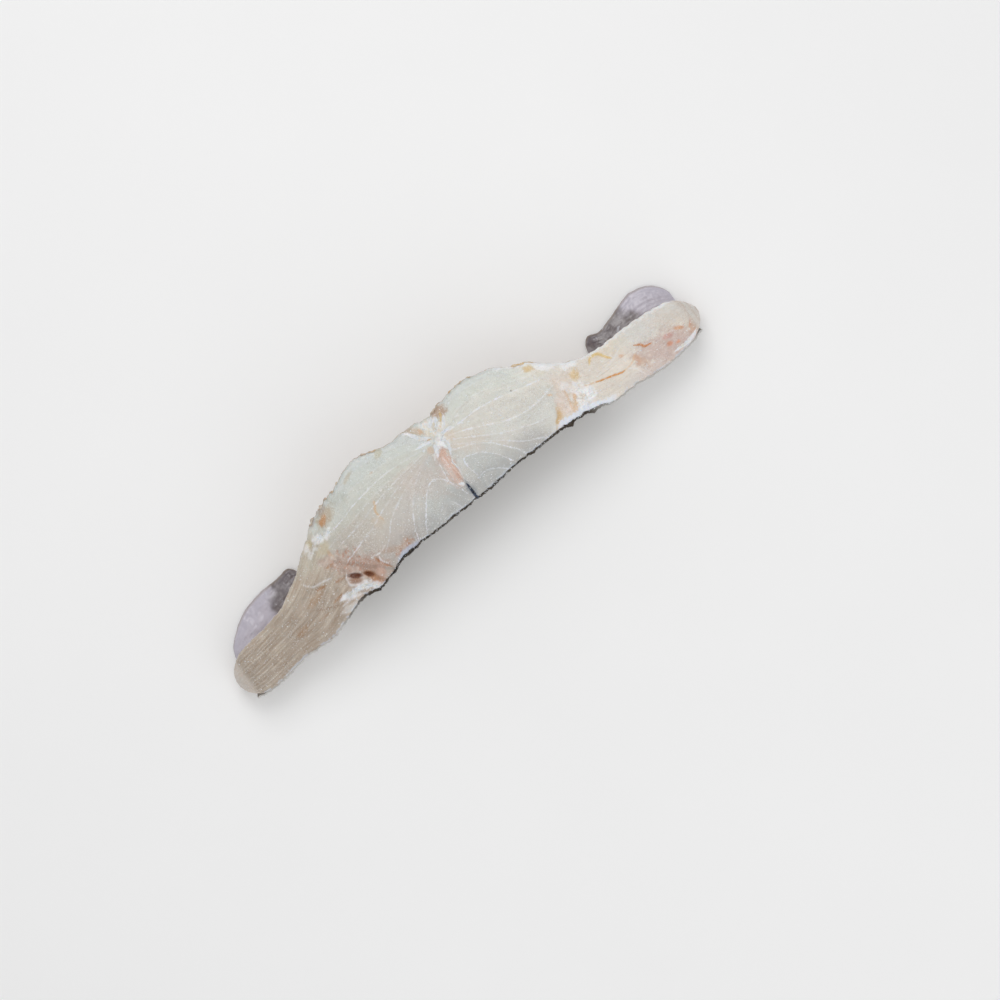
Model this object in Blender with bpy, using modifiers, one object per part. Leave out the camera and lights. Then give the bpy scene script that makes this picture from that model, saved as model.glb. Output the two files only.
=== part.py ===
"""Fresh cod neck: the nape of a large cod, cut across the body and opened flat.

The piece lies on its head-side cut, with the tail-side cut facing up. +X runs from
one collar arm to the other, +Y points to the body-cavity side and -Y to the back's
skin. The origin is on the resting face, between the two loins.
"""

import math

import bmesh
import bpy

MM = 0.001

# Driving dimensions
NECK_DEPTH = 60 * MM  # from the head-side cut to the tail-side cut, at the loins
LEFT_TIP = -200 * MM
RIGHT_TIP = 188 * MM
SKIN_THICKNESS = 1.3 * MM
FIT_GAP = 0.35 * MM  # clearance kept between neighbouring solids

# Cut edge on the skin side, seen from above: (x, y) in millimetres
SKIN_EDGE = [
    (-200, -52.5), (-178, -53.5), (-150, -50), (-130, -51), (-110, -45), (-96, -41),
    (-85, -43), (-76, -41.5), (-62, -36.5), (-40, -35.5), (-14, -35), (14, -34),
    (40, -32), (66, -31.5), (84, -32.5), (96, -34.5), (106, -38), (125, -38),
    (142, -40), (160, -39), (176, -36.5), (188, -33.5),
]  # fmt: skip
# Cut edge on the body-cavity side
CAVITY_EDGE = [
    (-200, -25), (-175, -21), (-150, -17), (-132, -9), (-113, 4), (-101, 13),
    (-88, 19.5), (-72, 25), (-57, 30.5), (-44, 31.5), (-30, 27.5), (-8, 27),
    (2, 24.5), (17, 28.5), (31, 30.5), (44, 29.5), (56, 25.5), (68, 18.5),
    (79, 13), (90, 4.5), (101, -1.5), (118, -4.5), (150, -4.5), (170, -6.5),
    (188, -12),
]  # fmt: skip
# Height of the cut face along the piece: (x, z) in millimetres
FACE_HEIGHT = [
    (-200, 29), (-180, 35), (-150, 42), (-124, 48), (-98, 55), (-80, 59), (-60, 60),
    (60, 60), (78, 58.5), (96, 54), (120, 48), (150, 41), (172, 36), (188, 30),
]  # fmt: skip

# How far each wall runs back under the cut edge on its way down, in millimetres
SKIN_WALL_SLOPE = [(-200, 5), (-120, 7), (-60, 13), (60, 13), (110, 7), (188, 5)]
CAVITY_WALL_SLOPE = [(-200, 6), (-130, 8), (-95, 9), (-60, 12), (60, 12), (95, 9), (130, 8), (188, 6)]
SKIN_WALL_BULGE = 0.35  # share of the slope that the wall swells by, half-way down
CAVITY_WALL_HOLLOW = 2 * MM

# Rounding of the four edges that run along the piece
SKIN_TOP_RADIUS = 1.6 * MM
CAVITY_TOP_RADIUS = 4 * MM
BOTTOM_RADIUS = 6 * MM
TIP_ROUNDING = 17 * MM
TIP_SMALLEST = 0.2  # share of the full section left at an arm's very end

# Groove of the back, where the skin folds in at the middle of the fish
GROOVE_X = -1 * MM
GROOVE_WIDTH = 2.4 * MM
GROOVE_DEPTH = 11 * MM
GROOVE_LIP = 0.5 * MM  # the groove's two lips are this wide

# Backbone: a row of hourglass vertebrae in a channel open to the body cavity
BACKBONE_CENTRE = (2.5 * MM, 16.8 * MM)
VERTEBRA_RIM_RADIUS = 8.4 * MM
VERTEBRA_WAIST_RADIUS = 7.2 * MM
VERTEBRA_COUNT = 4
BACKBONE_FOOT = 1 * MM  # kept clear of the resting surface
BACKBONE_STAND = 0.8 * MM  # the sawn end stands this proud of the flesh

# Pectoral fins, folded against the foot of each arm: outer edge seen from above, in millimetres
RIGHT_FIN_EDGE = [
    (114.5, -2), (116, 2.5), (120, 6), (128, 4.2), (137, 6), (148, 10), (160, 12.5),
    (172, 9), (179, 2), (181, -3),
]  # fmt: skip
LEFT_FIN_EDGE = [
    (-192, -23), (-189, -17), (-180, -9), (-170, -3), (-158, 0.5), (-146, 1.5),
    (-137, 2), (-130, 3), (-126.5, 0), (-125, -4),
]  # fmt: skip
FIN_THICKNESS = 6 * MM
FIN_RAYS = 7
FIN_FOOT = 0.6 * MM  # kept clear of the resting surface

# Samples of a section's ring, in the order that the ring runs
TOP_POINTS = 15
WALL_POINTS = 4
BOTTOM_POINTS = 4
CORNER_POINTS = 2
STATION_STEP = 4.4 * MM


def smooth_line(points, x):
    """The value at x of a smooth curve through the points, which are in millimetres."""
    at = x / MM
    if at <= points[0][0]:
        return points[0][1] * MM
    if at >= points[-1][0]:
        return points[-1][1] * MM
    last = len(points) - 1
    i = next(k for k in range(last) if at <= points[k + 1][0])

    def slope(k):
        before, after = points[max(k - 1, 0)], points[min(k + 1, last)]
        return (after[1] - before[1]) / (after[0] - before[0])

    (x0, y0), (x1, y1) = points[i], points[i + 1]
    span = x1 - x0
    t = (at - x0) / span
    value = (
        (2 * t**3 - 3 * t**2 + 1) * y0
        + (t**3 - 2 * t**2 + t) * span * slope(i)
        + (-2 * t**3 + 3 * t**2) * y1
        + (t**3 - t**2) * span * slope(i + 1)
    )
    return value * MM


def step(edge0, edge1, value):
    """0 before edge0, 1 after edge1, and smooth between them."""
    t = min(1.0, max(0.0, (value - edge0) / (edge1 - edge0)))
    return t * t * (3 - 2 * t)


def mound(x, y, centre, reach):
    """A bell of height 1 at centre, whose width each way is reach, in millimetres."""
    dx = (x / MM - centre[0]) / reach[0]
    dy = (y / MM - centre[1]) / reach[1]
    return math.exp(-dx * dx - dy * dy)


def face_relief(x, y):
    """Height of the cut face above its plain level."""
    across, over = y / MM, x / MM
    loins = 2.2 * mound(x, y, (38, -2), (27, 22)) + 2.2 * mound(x, y, (-46, -2), (30, 23))
    middle = -1.8 * mound(x, y, (-1, -10), (7, 26))
    # Each loin ends in a small cliff, above the softer collar flesh
    right_end = 79 - 0.0175 * (across + 2) ** 2
    right_cliff = -3 * step(right_end, right_end + 2.5, over) * step(2, -8, across)
    left_end = -90 - 1.03 * (across + 20)
    left_cliff = -3 * step(left_end, left_end - 3, over) * step(-12, -22, across)
    # Long soft folds of the belly wall run down each arm
    arm = step(92, 112, abs(over))
    folds = arm * math.sin(across * 0.33 + over * 0.045)
    # Flakes of muscle, cut across, stand in low waves round the backbone
    around = math.atan2(across - 10, over)
    far = math.hypot(over, across - 10)
    flakes = 0.5 * math.sin(around * 9 + far * 0.06) * step(14, 34, far) * (1 - arm)
    return (loins + middle + right_cliff + left_cliff + folds + flakes) * MM


def corner(centre, radius, start, count):
    """Points of a quarter circle that turns clockwise from the angle start."""
    return [
        (
            centre[0] + radius * math.cos(start - math.pi / 2 * k / count),
            centre[1] + radius * math.sin(start - math.pi / 2 * k / count),
        )
        for k in range(count + 1)
    ]


def side(start, end, count, outward):
    """Points inside a straight side, pushed out along outward by a half sine."""
    shares = [(k + 1) / (count + 1) for k in range(count)]
    return [
        (
            start[0] + (end[0] - start[0]) * s + outward * math.sin(math.pi * s),
            start[1] + (end[1] - start[1]) * s,
        )
        for s in shares
    ]


def section(x, groove=False):
    """One closed ring across the piece, clockwise seen along +X: top, cavity wall, bottom, skin wall."""
    skin_y, cavity_y = smooth_line(SKIN_EDGE, x), smooth_line(CAVITY_EDGE, x)
    top, slope = smooth_line(FACE_HEIGHT, x), smooth_line(SKIN_WALL_SLOPE, x)
    cavity_low = cavity_y - smooth_line(CAVITY_WALL_SLOPE, x)
    if groove:
        skin_y += GROOVE_DEPTH

    r1, r2, r3 = SKIN_TOP_RADIUS, CAVITY_TOP_RADIUS, BOTTOM_RADIUS
    top_skin = corner((skin_y + r1, top - r1), r1, math.pi, CORNER_POINTS)
    top_cavity = corner((cavity_y - r2, top - r2), r2, math.pi / 2, CORNER_POINTS)
    low_cavity = corner((cavity_low - r3, r3), r3, 0, CORNER_POINTS)
    low_skin = corner((skin_y + slope + r3, r3), r3, -math.pi / 2, CORNER_POINTS)
    ring = (
        top_skin
        + side(top_skin[-1], top_cavity[0], TOP_POINTS, 0)
        + top_cavity
        + side(top_cavity[-1], low_cavity[0], WALL_POINTS, -CAVITY_WALL_HOLLOW)
        + low_cavity
        + side(low_cavity[-1], low_skin[0], BOTTOM_POINTS, 0)
        + low_skin
        + side(low_skin[-1], top_skin[0], WALL_POINTS, -SKIN_WALL_BULGE * slope)
    )
    raised = [(y, z + step(0.55, 1.0, z / top) * face_relief(x, y)) for y, z in ring]
    return shrink_at_tip(x, raised)


def shrink_at_tip(x, ring):
    """Draws a ring in towards its foot near an arm's end, which rounds the arm off."""
    from_end = min(x - LEFT_TIP, RIGHT_TIP - x)
    t = max(0.0, 1 - from_end / TIP_ROUNDING)
    scale = max(TIP_SMALLEST, math.sqrt(max(0.0, 1 - t * t)))
    mid_y = sum(y for y, _ in ring) / len(ring)
    foot = 0.3 * max(z for _, z in ring)
    return [(mid_y + (y - mid_y) * scale, foot + (z - foot) * scale) for y, z in ring]


def stations(groove_inset=0.0):
    """Places along X: even steps, closer at the rounded ends and at the groove's two walls."""
    ends = [0, 0.3 * MM, 1.2 * MM, 3 * MM, 6 * MM, 10.5 * MM]
    inner = RIGHT_TIP - LEFT_TIP - 2 * TIP_ROUNDING
    count = round(inner / STATION_STEP)
    half = GROOVE_WIDTH / 2 - groove_inset
    even = [LEFT_TIP + TIP_ROUNDING + inner * k / count for k in range(count + 1)]
    plain = [x for x in even if abs(x - GROOVE_X) > GROOVE_WIDTH / 2 + GROOVE_LIP + 0.6 * MM]
    plain += [LEFT_TIP + e for e in ends] + [RIGHT_TIP - e for e in ends]
    plain += [GROOVE_X - half - GROOVE_LIP, GROOVE_X + half + GROOVE_LIP]
    return sorted([(x, False) for x in plain] + [(GROOVE_X - half, True), (GROOVE_X + half, True)])


def material(name, colour, roughness, subsurface=0.0):
    made = bpy.data.materials.new(name)
    made.use_nodes = True
    shader = made.node_tree.nodes["Principled BSDF"]
    shader.inputs["Base Color"].default_value = (*colour, 1)
    shader.inputs["Roughness"].default_value = roughness
    shader.inputs["Metallic"].default_value = 0
    shader.inputs["Subsurface Weight"].default_value = subsurface
    return made


def link(obj, collection):
    for old in list(obj.users_collection):
        old.objects.unlink(obj)
    collection.objects.link(obj)
    return obj


def loft(name, rings, collection, finish):
    """A closed mesh through the rings, each a list of as many points, with a fan over each end."""
    mesh = bpy.data.meshes.new(name)
    work = bmesh.new()
    loops = [[work.verts.new(point) for point in ring] for ring in rings]
    count = len(rings[0])
    for near, far in zip(loops, loops[1:]):
        for k in range(count):
            n = (k + 1) % count
            work.faces.new((near[k], near[n], far[n]))
            work.faces.new((near[k], far[n], far[k]))
    for loop, ring in ((loops[0], rings[0]), (loops[-1], rings[-1])):
        middle = work.verts.new([sum(part) / count for part in zip(*ring)])
        for k in range(count):
            work.faces.new((loop[k], loop[(k + 1) % count], middle))
    bmesh.ops.recalc_face_normals(work, faces=work.faces)
    work.to_mesh(mesh)
    work.free()
    mesh.shade_smooth()
    mesh.set_sharp_from_angle(angle=math.radians(50))
    mesh.materials.append(finish)
    return link(bpy.data.objects.new(name, mesh), collection)


def cut(obj, cutter):
    boolean = obj.modifiers.new("cut_" + cutter.name, "BOOLEAN")
    boolean.operation = "DIFFERENCE"
    boolean.object = cutter


def make_cutter(obj, name, collection):
    obj.name = name
    obj.hide_render = True
    obj.display_type = "WIRE"
    return link(obj, collection)


def flesh(collection, cutters):
    """The whole cut of muscle: two loins, and the two belly walls laid out as arms."""
    rings = [[(x, y, z) for y, z in section(x, groove)] for x, groove in stations()]
    body = loft("flesh", rings, collection, material("cod_flesh", (0.68, 0.64, 0.53), 0.45, 0.3))

    bpy.ops.mesh.primitive_cylinder_add(
        vertices=28,
        radius=VERTEBRA_RIM_RADIUS + FIT_GAP,
        depth=3 * NECK_DEPTH,
        location=(*BACKBONE_CENTRE, NECK_DEPTH / 2),
    )
    cut(body, make_cutter(bpy.context.object, "backbone_channel", cutters))

    # A cut vein beside the left loin, and the wet pocket next to it
    pit(body, cutters, "vein", (-93.8, -28.6), (8.4, 3.6), -23, 11)
    pit(body, cutters, "vein_pocket", (-84.2, -33.6), (11, 4.4), -47, 4.5)
    # Splits between the muscle bands of the right arm
    pit(body, cutters, "long_split", (115.2, -24.8), (18, 1.5), -13, 4)
    pit(body, cutters, "short_split", (143.5, -20.8), (11, 1.4), -33, 3)


def pit(body, cutters, name, centre, size, turn, depth):
    """Cuts an upright oval hole: centre and size in millimetres, turn in degrees, depth below the face."""
    x, y = centre[0] * MM, centre[1] * MM
    top = smooth_line(FACE_HEIGHT, x) + face_relief(x, y)
    height = (depth + 10) * MM
    bpy.ops.mesh.primitive_cylinder_add(
        vertices=14,
        radius=0.5,
        depth=height,
        location=(x, y, top - depth * MM + height / 2),
        rotation=(0, 0, math.radians(turn)),
    )
    tool = bpy.context.object
    tool.scale = (size[0] * MM, size[1] * MM, 1)
    cut(body, make_cutter(tool, name, cutters))


def outward(ring, k):
    """Unit normal of a clockwise ring at point k."""
    (y0, z0), (y1, z1) = ring[k - 1], ring[(k + 1) % len(ring)]
    dy, dz = y1 - y0, z1 - z0
    length = math.hypot(dy, dz)
    return (-dz / length, dy / length)


def skin(collection):
    """The skin of the back and flanks: a thin layer on the outer wall, folded into the groove."""
    # The layer starts half-way round the lower corner, clear of the resting surface
    first = TOP_POINTS + WALL_POINTS + BOTTOM_POINTS + 3 * (CORNER_POINTS + 1) + 1
    rings = []
    for x, groove in stations(groove_inset=FIT_GAP):
        if min(x - LEFT_TIP, RIGHT_TIP - x) < 5 * MM:
            continue
        ring = section(x)
        fold = GROOVE_DEPTH if groove else 0
        inner, outer = [], []
        for k in list(range(first, len(ring))) + [0]:
            y, z = ring[k]
            ny, nz = outward(ring, k)
            inner.append((x, y + ny * FIT_GAP + fold, z + nz * FIT_GAP))
            far = FIT_GAP + SKIN_THICKNESS
            outer.append((x, y + ny * far, z + nz * far))
        rings.append(inner + outer[::-1])
    loft("skin", rings, collection, material("cod_skin", (0.075, 0.07, 0.06), 0.38))


def backbone(collection):
    """A turned column of vertebrae, one hourglass for each, cut off level with the face."""
    top = NECK_DEPTH + BACKBONE_STAND
    pitch = (top - BACKBONE_FOOT) / VERTEBRA_COUNT
    rim, waist = VERTEBRA_RIM_RADIUS, VERTEBRA_WAIST_RADIUS
    profile = [(0, top), (rim, top)]
    for k in range(VERTEBRA_COUNT):
        upper = top - k * pitch
        profile += [
            (rim, upper - 0.12 * pitch),
            (waist, upper - 0.35 * pitch),
            (waist, upper - 0.65 * pitch),
            (rim, upper - 0.88 * pitch),
        ]
    profile += [(rim, BACKBONE_FOOT), (0, BACKBONE_FOOT)]
    mesh = bpy.data.meshes.new("backbone")
    edges = [(k, k + 1) for k in range(len(profile) - 1)]
    mesh.from_pydata([(r, 0, z) for r, z in profile], edges, [])
    mesh.materials.append(material("cod_bone", (0.78, 0.72, 0.58), 0.5, 0.2))
    obj = link(bpy.data.objects.new("backbone", mesh), collection)
    obj.location = (*BACKBONE_CENTRE, 0)
    turned = obj.modifiers.new("turn", "SCREW")
    turned.steps = turned.render_steps = 20
    turned.use_merge_vertices = True
    turned.merge_threshold = 0.0001


def arm_foot(x):
    """Where the rounded foot of the cavity wall stands at the height of a fin's inner edge."""
    height = FIN_FOOT + 0.35 * FIN_THICKNESS
    under = BOTTOM_RADIUS - math.sqrt(BOTTOM_RADIUS**2 - (BOTTOM_RADIUS - height) ** 2)
    return smooth_line(CAVITY_EDGE, x) - smooth_line(CAVITY_WALL_SLOPE, x) - under


def fin(name, edge, collection, finish):
    """A folded pectoral fin pressed to an arm's foot: swollen in the middle, ribbed by its rays."""
    first, last = edge[0][0] * MM, edge[-1][0] * MM
    rings = []
    for k in range(19):
        # Cosine spacing puts the stations close together at the round ends
        x = first + (last - first) * (0.5 - 0.5 * math.cos(math.pi * (0.03 + 0.94 * k / 18)))
        far, near = smooth_line(edge, x), arm_foot(x) + FIT_GAP
        middle, half = (far + near) / 2, (far - near) / 2
        from_end = min(x - first, last - x)
        thick = FIN_THICKNESS * math.sqrt(min(1.0, from_end / (10 * MM)))
        keel = FIN_FOOT + 0.35 * FIN_THICKNESS
        upper, lower = [], []
        for j in range(9):
            s = math.cos(math.pi * j / 8)
            crown = thick * math.sqrt(max(0.0, 1 - s * s))
            rib = 1 + 0.08 * math.cos(FIN_RAYS * math.pi * s)
            upper.append((x, middle + half * s, keel + 0.65 * crown * rib))
            lower.append((x, middle + half * s, keel - 0.35 * crown))
        rings.append(upper + lower[-2:0:-1])
    loft(name, rings, collection, finish)


def main():
    for old in list(bpy.data.objects):
        bpy.data.objects.remove(old)
    piece = bpy.data.collections.new("fresh_cod_neck")
    cutters = bpy.data.collections.new("cutters")
    bpy.context.scene.collection.children.link(piece)
    bpy.context.scene.collection.children.link(cutters)
    flesh(piece, cutters)
    skin(piece)
    backbone(piece)
    fin_skin = material("cod_fin", (0.16, 0.15, 0.16), 0.35)
    fin("fin_right", RIGHT_FIN_EDGE, piece, fin_skin)
    fin("fin_left", LEFT_FIN_EDGE, piece, fin_skin)


main()
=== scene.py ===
"""Fresh cod neck: the nape of a large cod, cut across the fish and opened flat on a pale surface."""

import math

import bmesh
import bpy
import numpy as np
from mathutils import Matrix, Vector, noise


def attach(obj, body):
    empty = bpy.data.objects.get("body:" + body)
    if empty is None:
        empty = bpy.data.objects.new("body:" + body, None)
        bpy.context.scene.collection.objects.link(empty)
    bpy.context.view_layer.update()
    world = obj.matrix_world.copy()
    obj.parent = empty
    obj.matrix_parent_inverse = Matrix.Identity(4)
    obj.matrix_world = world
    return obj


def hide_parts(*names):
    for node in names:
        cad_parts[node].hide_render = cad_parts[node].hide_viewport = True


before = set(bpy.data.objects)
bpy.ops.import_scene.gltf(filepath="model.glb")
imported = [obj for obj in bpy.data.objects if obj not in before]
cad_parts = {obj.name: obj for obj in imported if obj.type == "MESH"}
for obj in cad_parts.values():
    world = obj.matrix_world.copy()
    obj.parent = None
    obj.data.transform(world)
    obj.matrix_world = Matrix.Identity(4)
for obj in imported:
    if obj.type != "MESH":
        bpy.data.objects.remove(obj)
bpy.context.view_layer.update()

# --- Cut flesh --------------------------------------------------------------------------------
# One block of raw cod: two loins that meet at the backbone, and the two belly walls laid out as
# arms. It was sawn across the fish twice, so its top shows the flakes of muscle end on, parted by
# white sheets of gristle that fan out from the backbone. All lengths are in millimetres.
MM = 0.001
LEFT_TIP, RIGHT_TIP = -200.0, 188.0
SKIN_EDGE = [
    (-200, -52.5), (-178, -53.5), (-150, -50), (-130, -51), (-110, -45), (-96, -41),
    (-85, -43), (-76, -41.5), (-62, -36.5), (-40, -35.5), (-14, -35), (14, -34),
    (40, -32), (66, -31.5), (84, -32.5), (96, -34.5), (106, -38), (125, -38),
    (142, -40), (160, -39), (176, -36.5), (188, -33.5),
]  # fmt: skip
CAVITY_EDGE = [
    (-200, -25), (-175, -21), (-150, -17), (-132, -9), (-113, 4), (-101, 13),
    (-88, 19.5), (-72, 25), (-57, 30.5), (-44, 31.5), (-30, 27.5), (-8, 27),
    (2, 24.5), (17, 28.5), (31, 30.5), (44, 29.5), (56, 25.5), (68, 18.5),
    (79, 13), (90, 4.5), (101, -1.5), (118, -4.5), (150, -4.5), (170, -6.5),
    (188, -12),
]  # fmt: skip
FACE_HEIGHT = [
    (-200, 29), (-180, 35), (-150, 42), (-124, 48), (-98, 55), (-80, 59), (-60, 60),
    (60, 60), (78, 58.5), (96, 54), (120, 48), (150, 41), (172, 36), (188, 30),
]  # fmt: skip
SKIN_WALL_SLOPE = [(-200, 5), (-120, 7), (-60, 13), (60, 13), (110, 7), (188, 5)]
CAVITY_WALL_SLOPE = [
    (-200, 6), (-130, 8), (-95, 9), (-60, 12), (60, 12), (95, 9), (130, 8), (188, 6),
]  # fmt: skip
SKIN_WALL_BULGE, CAVITY_WALL_HOLLOW = 0.35, 2.0
SKIN_TOP_RADIUS, CAVITY_TOP_RADIUS, FOOT_RADIUS, TIP_ROUNDING = 0.9, 3.2, 6.0, 17.0
STAR = (-1.0, 8.5)  # where the gristle sheets meet, beside the backbone
SLIT_X, SLIT_HALF, SLIT_DEPTH = -1.0, 1.0, 11.0
FLAKE_STEP = 0.3  # the step that a tilted flake leaves at its sheet
STATION_STEP, SLIT_STEP, SLIT_REACH = 0.72, 0.2, 1.7
FACE_POINTS, CAVITY_WALL_POINTS, SKIN_WALL_POINTS, FLOOR_POINTS, BEND_POINTS = 112, 26, 13, 6, 5


def run_of(points, x):
    """A smooth curve through (x, value) points, read at every x."""
    px, py = np.array(points, float).T
    last = len(px) - 1
    before, after = np.maximum(np.arange(last + 1) - 1, 0), np.minimum(np.arange(last + 1) + 1, last)
    slope = (py[after] - py[before]) / (px[after] - px[before])
    i = np.clip(np.searchsorted(px, x) - 1, 0, last - 1)
    span = px[i + 1] - px[i]
    t = np.clip((x - px[i]) / span, 0, 1)
    rise = (2 * t**3 - 3 * t**2 + 1) * py[i] + (3 * t**2 - 2 * t**3) * py[i + 1]
    return rise + span * ((t**3 - 2 * t**2 + t) * slope[i] + (t**3 - t**2) * slope[i + 1])


def ramp(low, high, value):
    """0 at low, 1 at high, and smooth between them."""
    t = np.clip((value - low) / (high - low), 0, 1)
    return t * t * (3 - 2 * t)


def grain(size, seed, *places, octaves=3):
    """Soft random lumps of about the given size, from -1 to 1, at each place."""
    places = np.broadcast_arrays(*places)
    flat = [np.ravel(p) / size for p in places]
    flat += [np.zeros_like(flat[0])] * (3 - len(flat))
    shift = Vector((seed * 17.31, seed * 5.77, seed * 11.93))
    lumps = [noise.fractal(Vector(p) + shift, 0.9, 2.1, octaves) for p in zip(*flat)]
    return np.clip(np.array(lumps), -1, 1).reshape(places[0].shape)


def through(points, count=48):
    """A rounded line through given points, as count even steps."""
    p = np.array(points, float)
    p = np.vstack([2 * p[0] - p[1], p, 2 * p[-1] - p[-2]])
    t = np.linspace(0, len(p) - 3 - 1e-6, count)
    i, f = t.astype(int), (t % 1)[:, None]
    a, b, c, d = p[i], p[i + 1], p[i + 2], p[i + 3]
    return 0.5 * (2 * b + (c - a) * f + (2 * a - 5 * b + 4 * c - d) * f**2 + (3 * b - a - 3 * c + d) * f**3)


def beside(line, x, y):
    """How far each place lies to the left of a line (under 0: to its right), and how far along."""
    best = np.full(x.shape, 1e9)
    signed, along = np.zeros(x.shape), np.zeros(x.shape)
    for k, ((ax, ay), (bx, by)) in enumerate(zip(line, line[1:])):
        dx, dy = bx - ax, by - ay
        t = np.clip(((x - ax) * dx + (y - ay) * dy) / (dx * dx + dy * dy), 0, 1)
        off = np.hypot(x - ax - t * dx, y - ay - t * dy)
        near = off < best - 1e-6
        best = np.where(near, off, best)
        side = np.sign(dx * (y - ay) - dy * (x - ax))
        signed = np.where(near, off * side, signed)
        along = np.where(near, (k + t) / (len(line) - 1), along)
    return signed, along


def patch(x, y, centre, reach, turn=0.0, ragged=0.0):
    """1 in the middle of a soft oval patch and 0 outside it; ragged moves its rim about."""
    c, s = math.cos(math.radians(turn)), math.sin(math.radians(turn))
    u, v = x - centre[0], y - centre[1]
    far = np.hypot((u * c + v * s) / reach[0], (v * c - u * s) / reach[1])
    return 1 - ramp(0.55, 1.15, far + ragged)


def streak(x, y, points, width, ragged=0.0):
    """1 on a line of the given half width, fading beside it and at its two ends."""
    off, along = beside(through(points, 32), x, y)
    taper = np.sin(np.pi * np.clip(along, 0.02, 0.98)) ** 0.4
    return 1 - ramp(0.35, 1.0, np.abs(off) / (width * taper) + ragged)


def colour(red, green, blue):
    """A screen colour, 0 to 255 each, as the linear light that a shader works in."""
    c = np.array([red, green, blue], float) / 255
    return np.where(c <= 0.04045, c / 12.92, ((c + 0.055) / 1.055) ** 2.4)


# The gristle sheets of each loin, in order from the slit. Each row has the sheet's line from the
# midline outwards, how plainly it shows, and the colour of the flake on its far side.
FIRST_LEFT_FLAKE = (189, 191, 188)
LEFT_SHEETS = [
    ([(-11, -40), (-14, -30), (-17.5, -25.8), (-22, -26.5), (-27, -31), (-32, -40)], 0.3, (190, 192, 188)),
    ([(-4.5, -30), (-6, -23.5), (-9.7, -15.6), (-13, -11.5), (-16.6, -9.6), (-21, -10.4),
      (-26.4, -15), (-32, -22), (-38, -30.3), (-44, -41)], 0.9, (196, 194, 188)),
    ([(-4, 7.2), (-14.2, 2.6), (-26.8, -4.3), (-36.4, -14), (-44, -26), (-49, -40)], 0.7, (199, 194, 187)),
    ([(-4.5, 7.6), (-14, 4), (-24, 0), (-38, -5), (-52.5, -13), (-62, -22.5), (-76, -34)], 0.5,
     (200, 195, 186)),
    ([(-5, 8), (-18, 5), (-36, 1), (-54, -5.5), (-69, -11.6), (-80, -14.5), (-92, -18)], 0.6,
     (200, 197, 188)),
    ([(-5.5, 8.3), (-20, 6.6), (-38, 4.2), (-58, 0), (-72, -3.9), (-90, -7)], 0.75, (201, 199, 189)),
    ([(-6, 8.6), (-18, 8.3), (-33, 7.6), (-52, 5.6), (-74, 1), (-96, -4)], 0.3, (202, 203, 193)),
    ([(-6.5, 9.2), (-20, 11), (-42, 12), (-66, 8.6), (-76, 5.9), (-88, 3.3)], 0.75, (204, 206, 198)),
    ([(-7, 10), (-20, 15), (-40, 18.5), (-62, 17.5), (-82, 13)], 0.18, (204, 208, 202)),
    ([(-7.5, 11.5), (-18, 19.5), (-34, 24.2), (-54, 25.5), (-74, 20.5)], 0.1, (205, 209, 206)),
]  # fmt: skip
FIRST_RIGHT_FLAKE = (194, 197, 193)
RIGHT_SHEETS = [
    ([(6.6, -38), (7.6, -27.5), (11, -24.9), (16, -25.6), (24.5, -31), (30, -40)], 0.45, (194, 196, 192)),
    ([(7.5, -30), (7.8, -24), (6.4, -17), (6.3, -12), (8, -10), (12, -10.9), (18, -13.4),
      (22.8, -17.5), (27, -22.5), (31, -29.3), (36, -40)], 1.0, (206, 205, 199)),
    ([(2, 5), (4.6, -1), (10.2, -3.6), (15.8, -5.2), (21.7, -8.2), (27, -12.2), (31, -17),
      (35.4, -22.3), (39.2, -27.6), (44, -40)], 0.8, (211, 207, 199)),
    ([(2.2, 6), (9, 0), (20, -6.5), (32.5, -14.8), (38.7, -19.9), (45.1, -24.8), (57, -30.5), (66, -36)],
     0.45, (210, 208, 201)),
    ([(2.4, 7), (9.6, 3.6), (23, -4.2), (35, -11.2), (47.6, -16.4), (60, -20.3), (71, -22)], 0.6,
     (213, 212, 205)),
    ([(2.6, 8), (9, 7), (18.5, 4), (30, -1), (42, -6.6), (55, -9.9), (68, -9.4), (80, -7)], 0.75,
     (216, 213, 204)),
    ([(2.8, 9), (10, 9.6), (20.4, 9.8), (33.5, 9.8), (48.8, 7.4), (62.6, 3.8), (76, 1)], 0.85,
     (214, 214, 206)),
    ([(3, 10), (10, 13.5), (22, 17.5), (38, 18), (54, 13.5), (70, 7.5)], 0.16, (213, 215, 206)),
    ([(3.2, 11), (8, 17.5), (18, 23), (32, 25.5), (48, 22.8), (62, 16)], 0.1, (211, 214, 208)),
]  # fmt: skip
OUTER_FLAKE = 9.0  # the width of the first and last flake, which have a sheet on one side only


def flakes(sheets, hand, x, y):
    """Numbers the flakes: whole at a sheet and between wholes in a flake, with width and plainness."""
    offs = np.array([hand * beside(through(line), x, y)[0] for line, _, _ in sheets])
    shows = np.array([0.0] + [plain for _, plain, _ in sheets] + [0.0])
    inner = np.clip((offs > 0).sum(0), 0, len(sheets))
    pad = np.full((1,) + x.shape, OUTER_FLAKE)
    low = np.maximum(np.take_along_axis(np.vstack([pad, offs]), inner[None], 0)[0], 0.001)
    high = np.maximum(-np.take_along_axis(np.vstack([offs, -pad]), inner[None], 0)[0], 0.001)
    share = low / (low + high)
    show = shows[inner] + (shows[inner + 1] - shows[inner]) * ramp(0.3, 0.7, share)
    return inner + share, low + high, show


MIDLINE_X, MIDLINE_LEAN = -3.4, 0.08  # where the middle line crosses y = 9, and how it leans
RIGHT_CLIFF, RIGHT_BEND = (79, -2), 0.0175  # the end of the right loin is a shallow bow
LEFT_CLIFF, LEFT_LEAN = (-90, -20), 1.03  # that of the left loin is cut aslant


def midline(x, y):
    """How far each place is to the right of the line from the backbone to the slit."""
    return x - MIDLINE_X + MIDLINE_LEAN * (y - 9)


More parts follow.
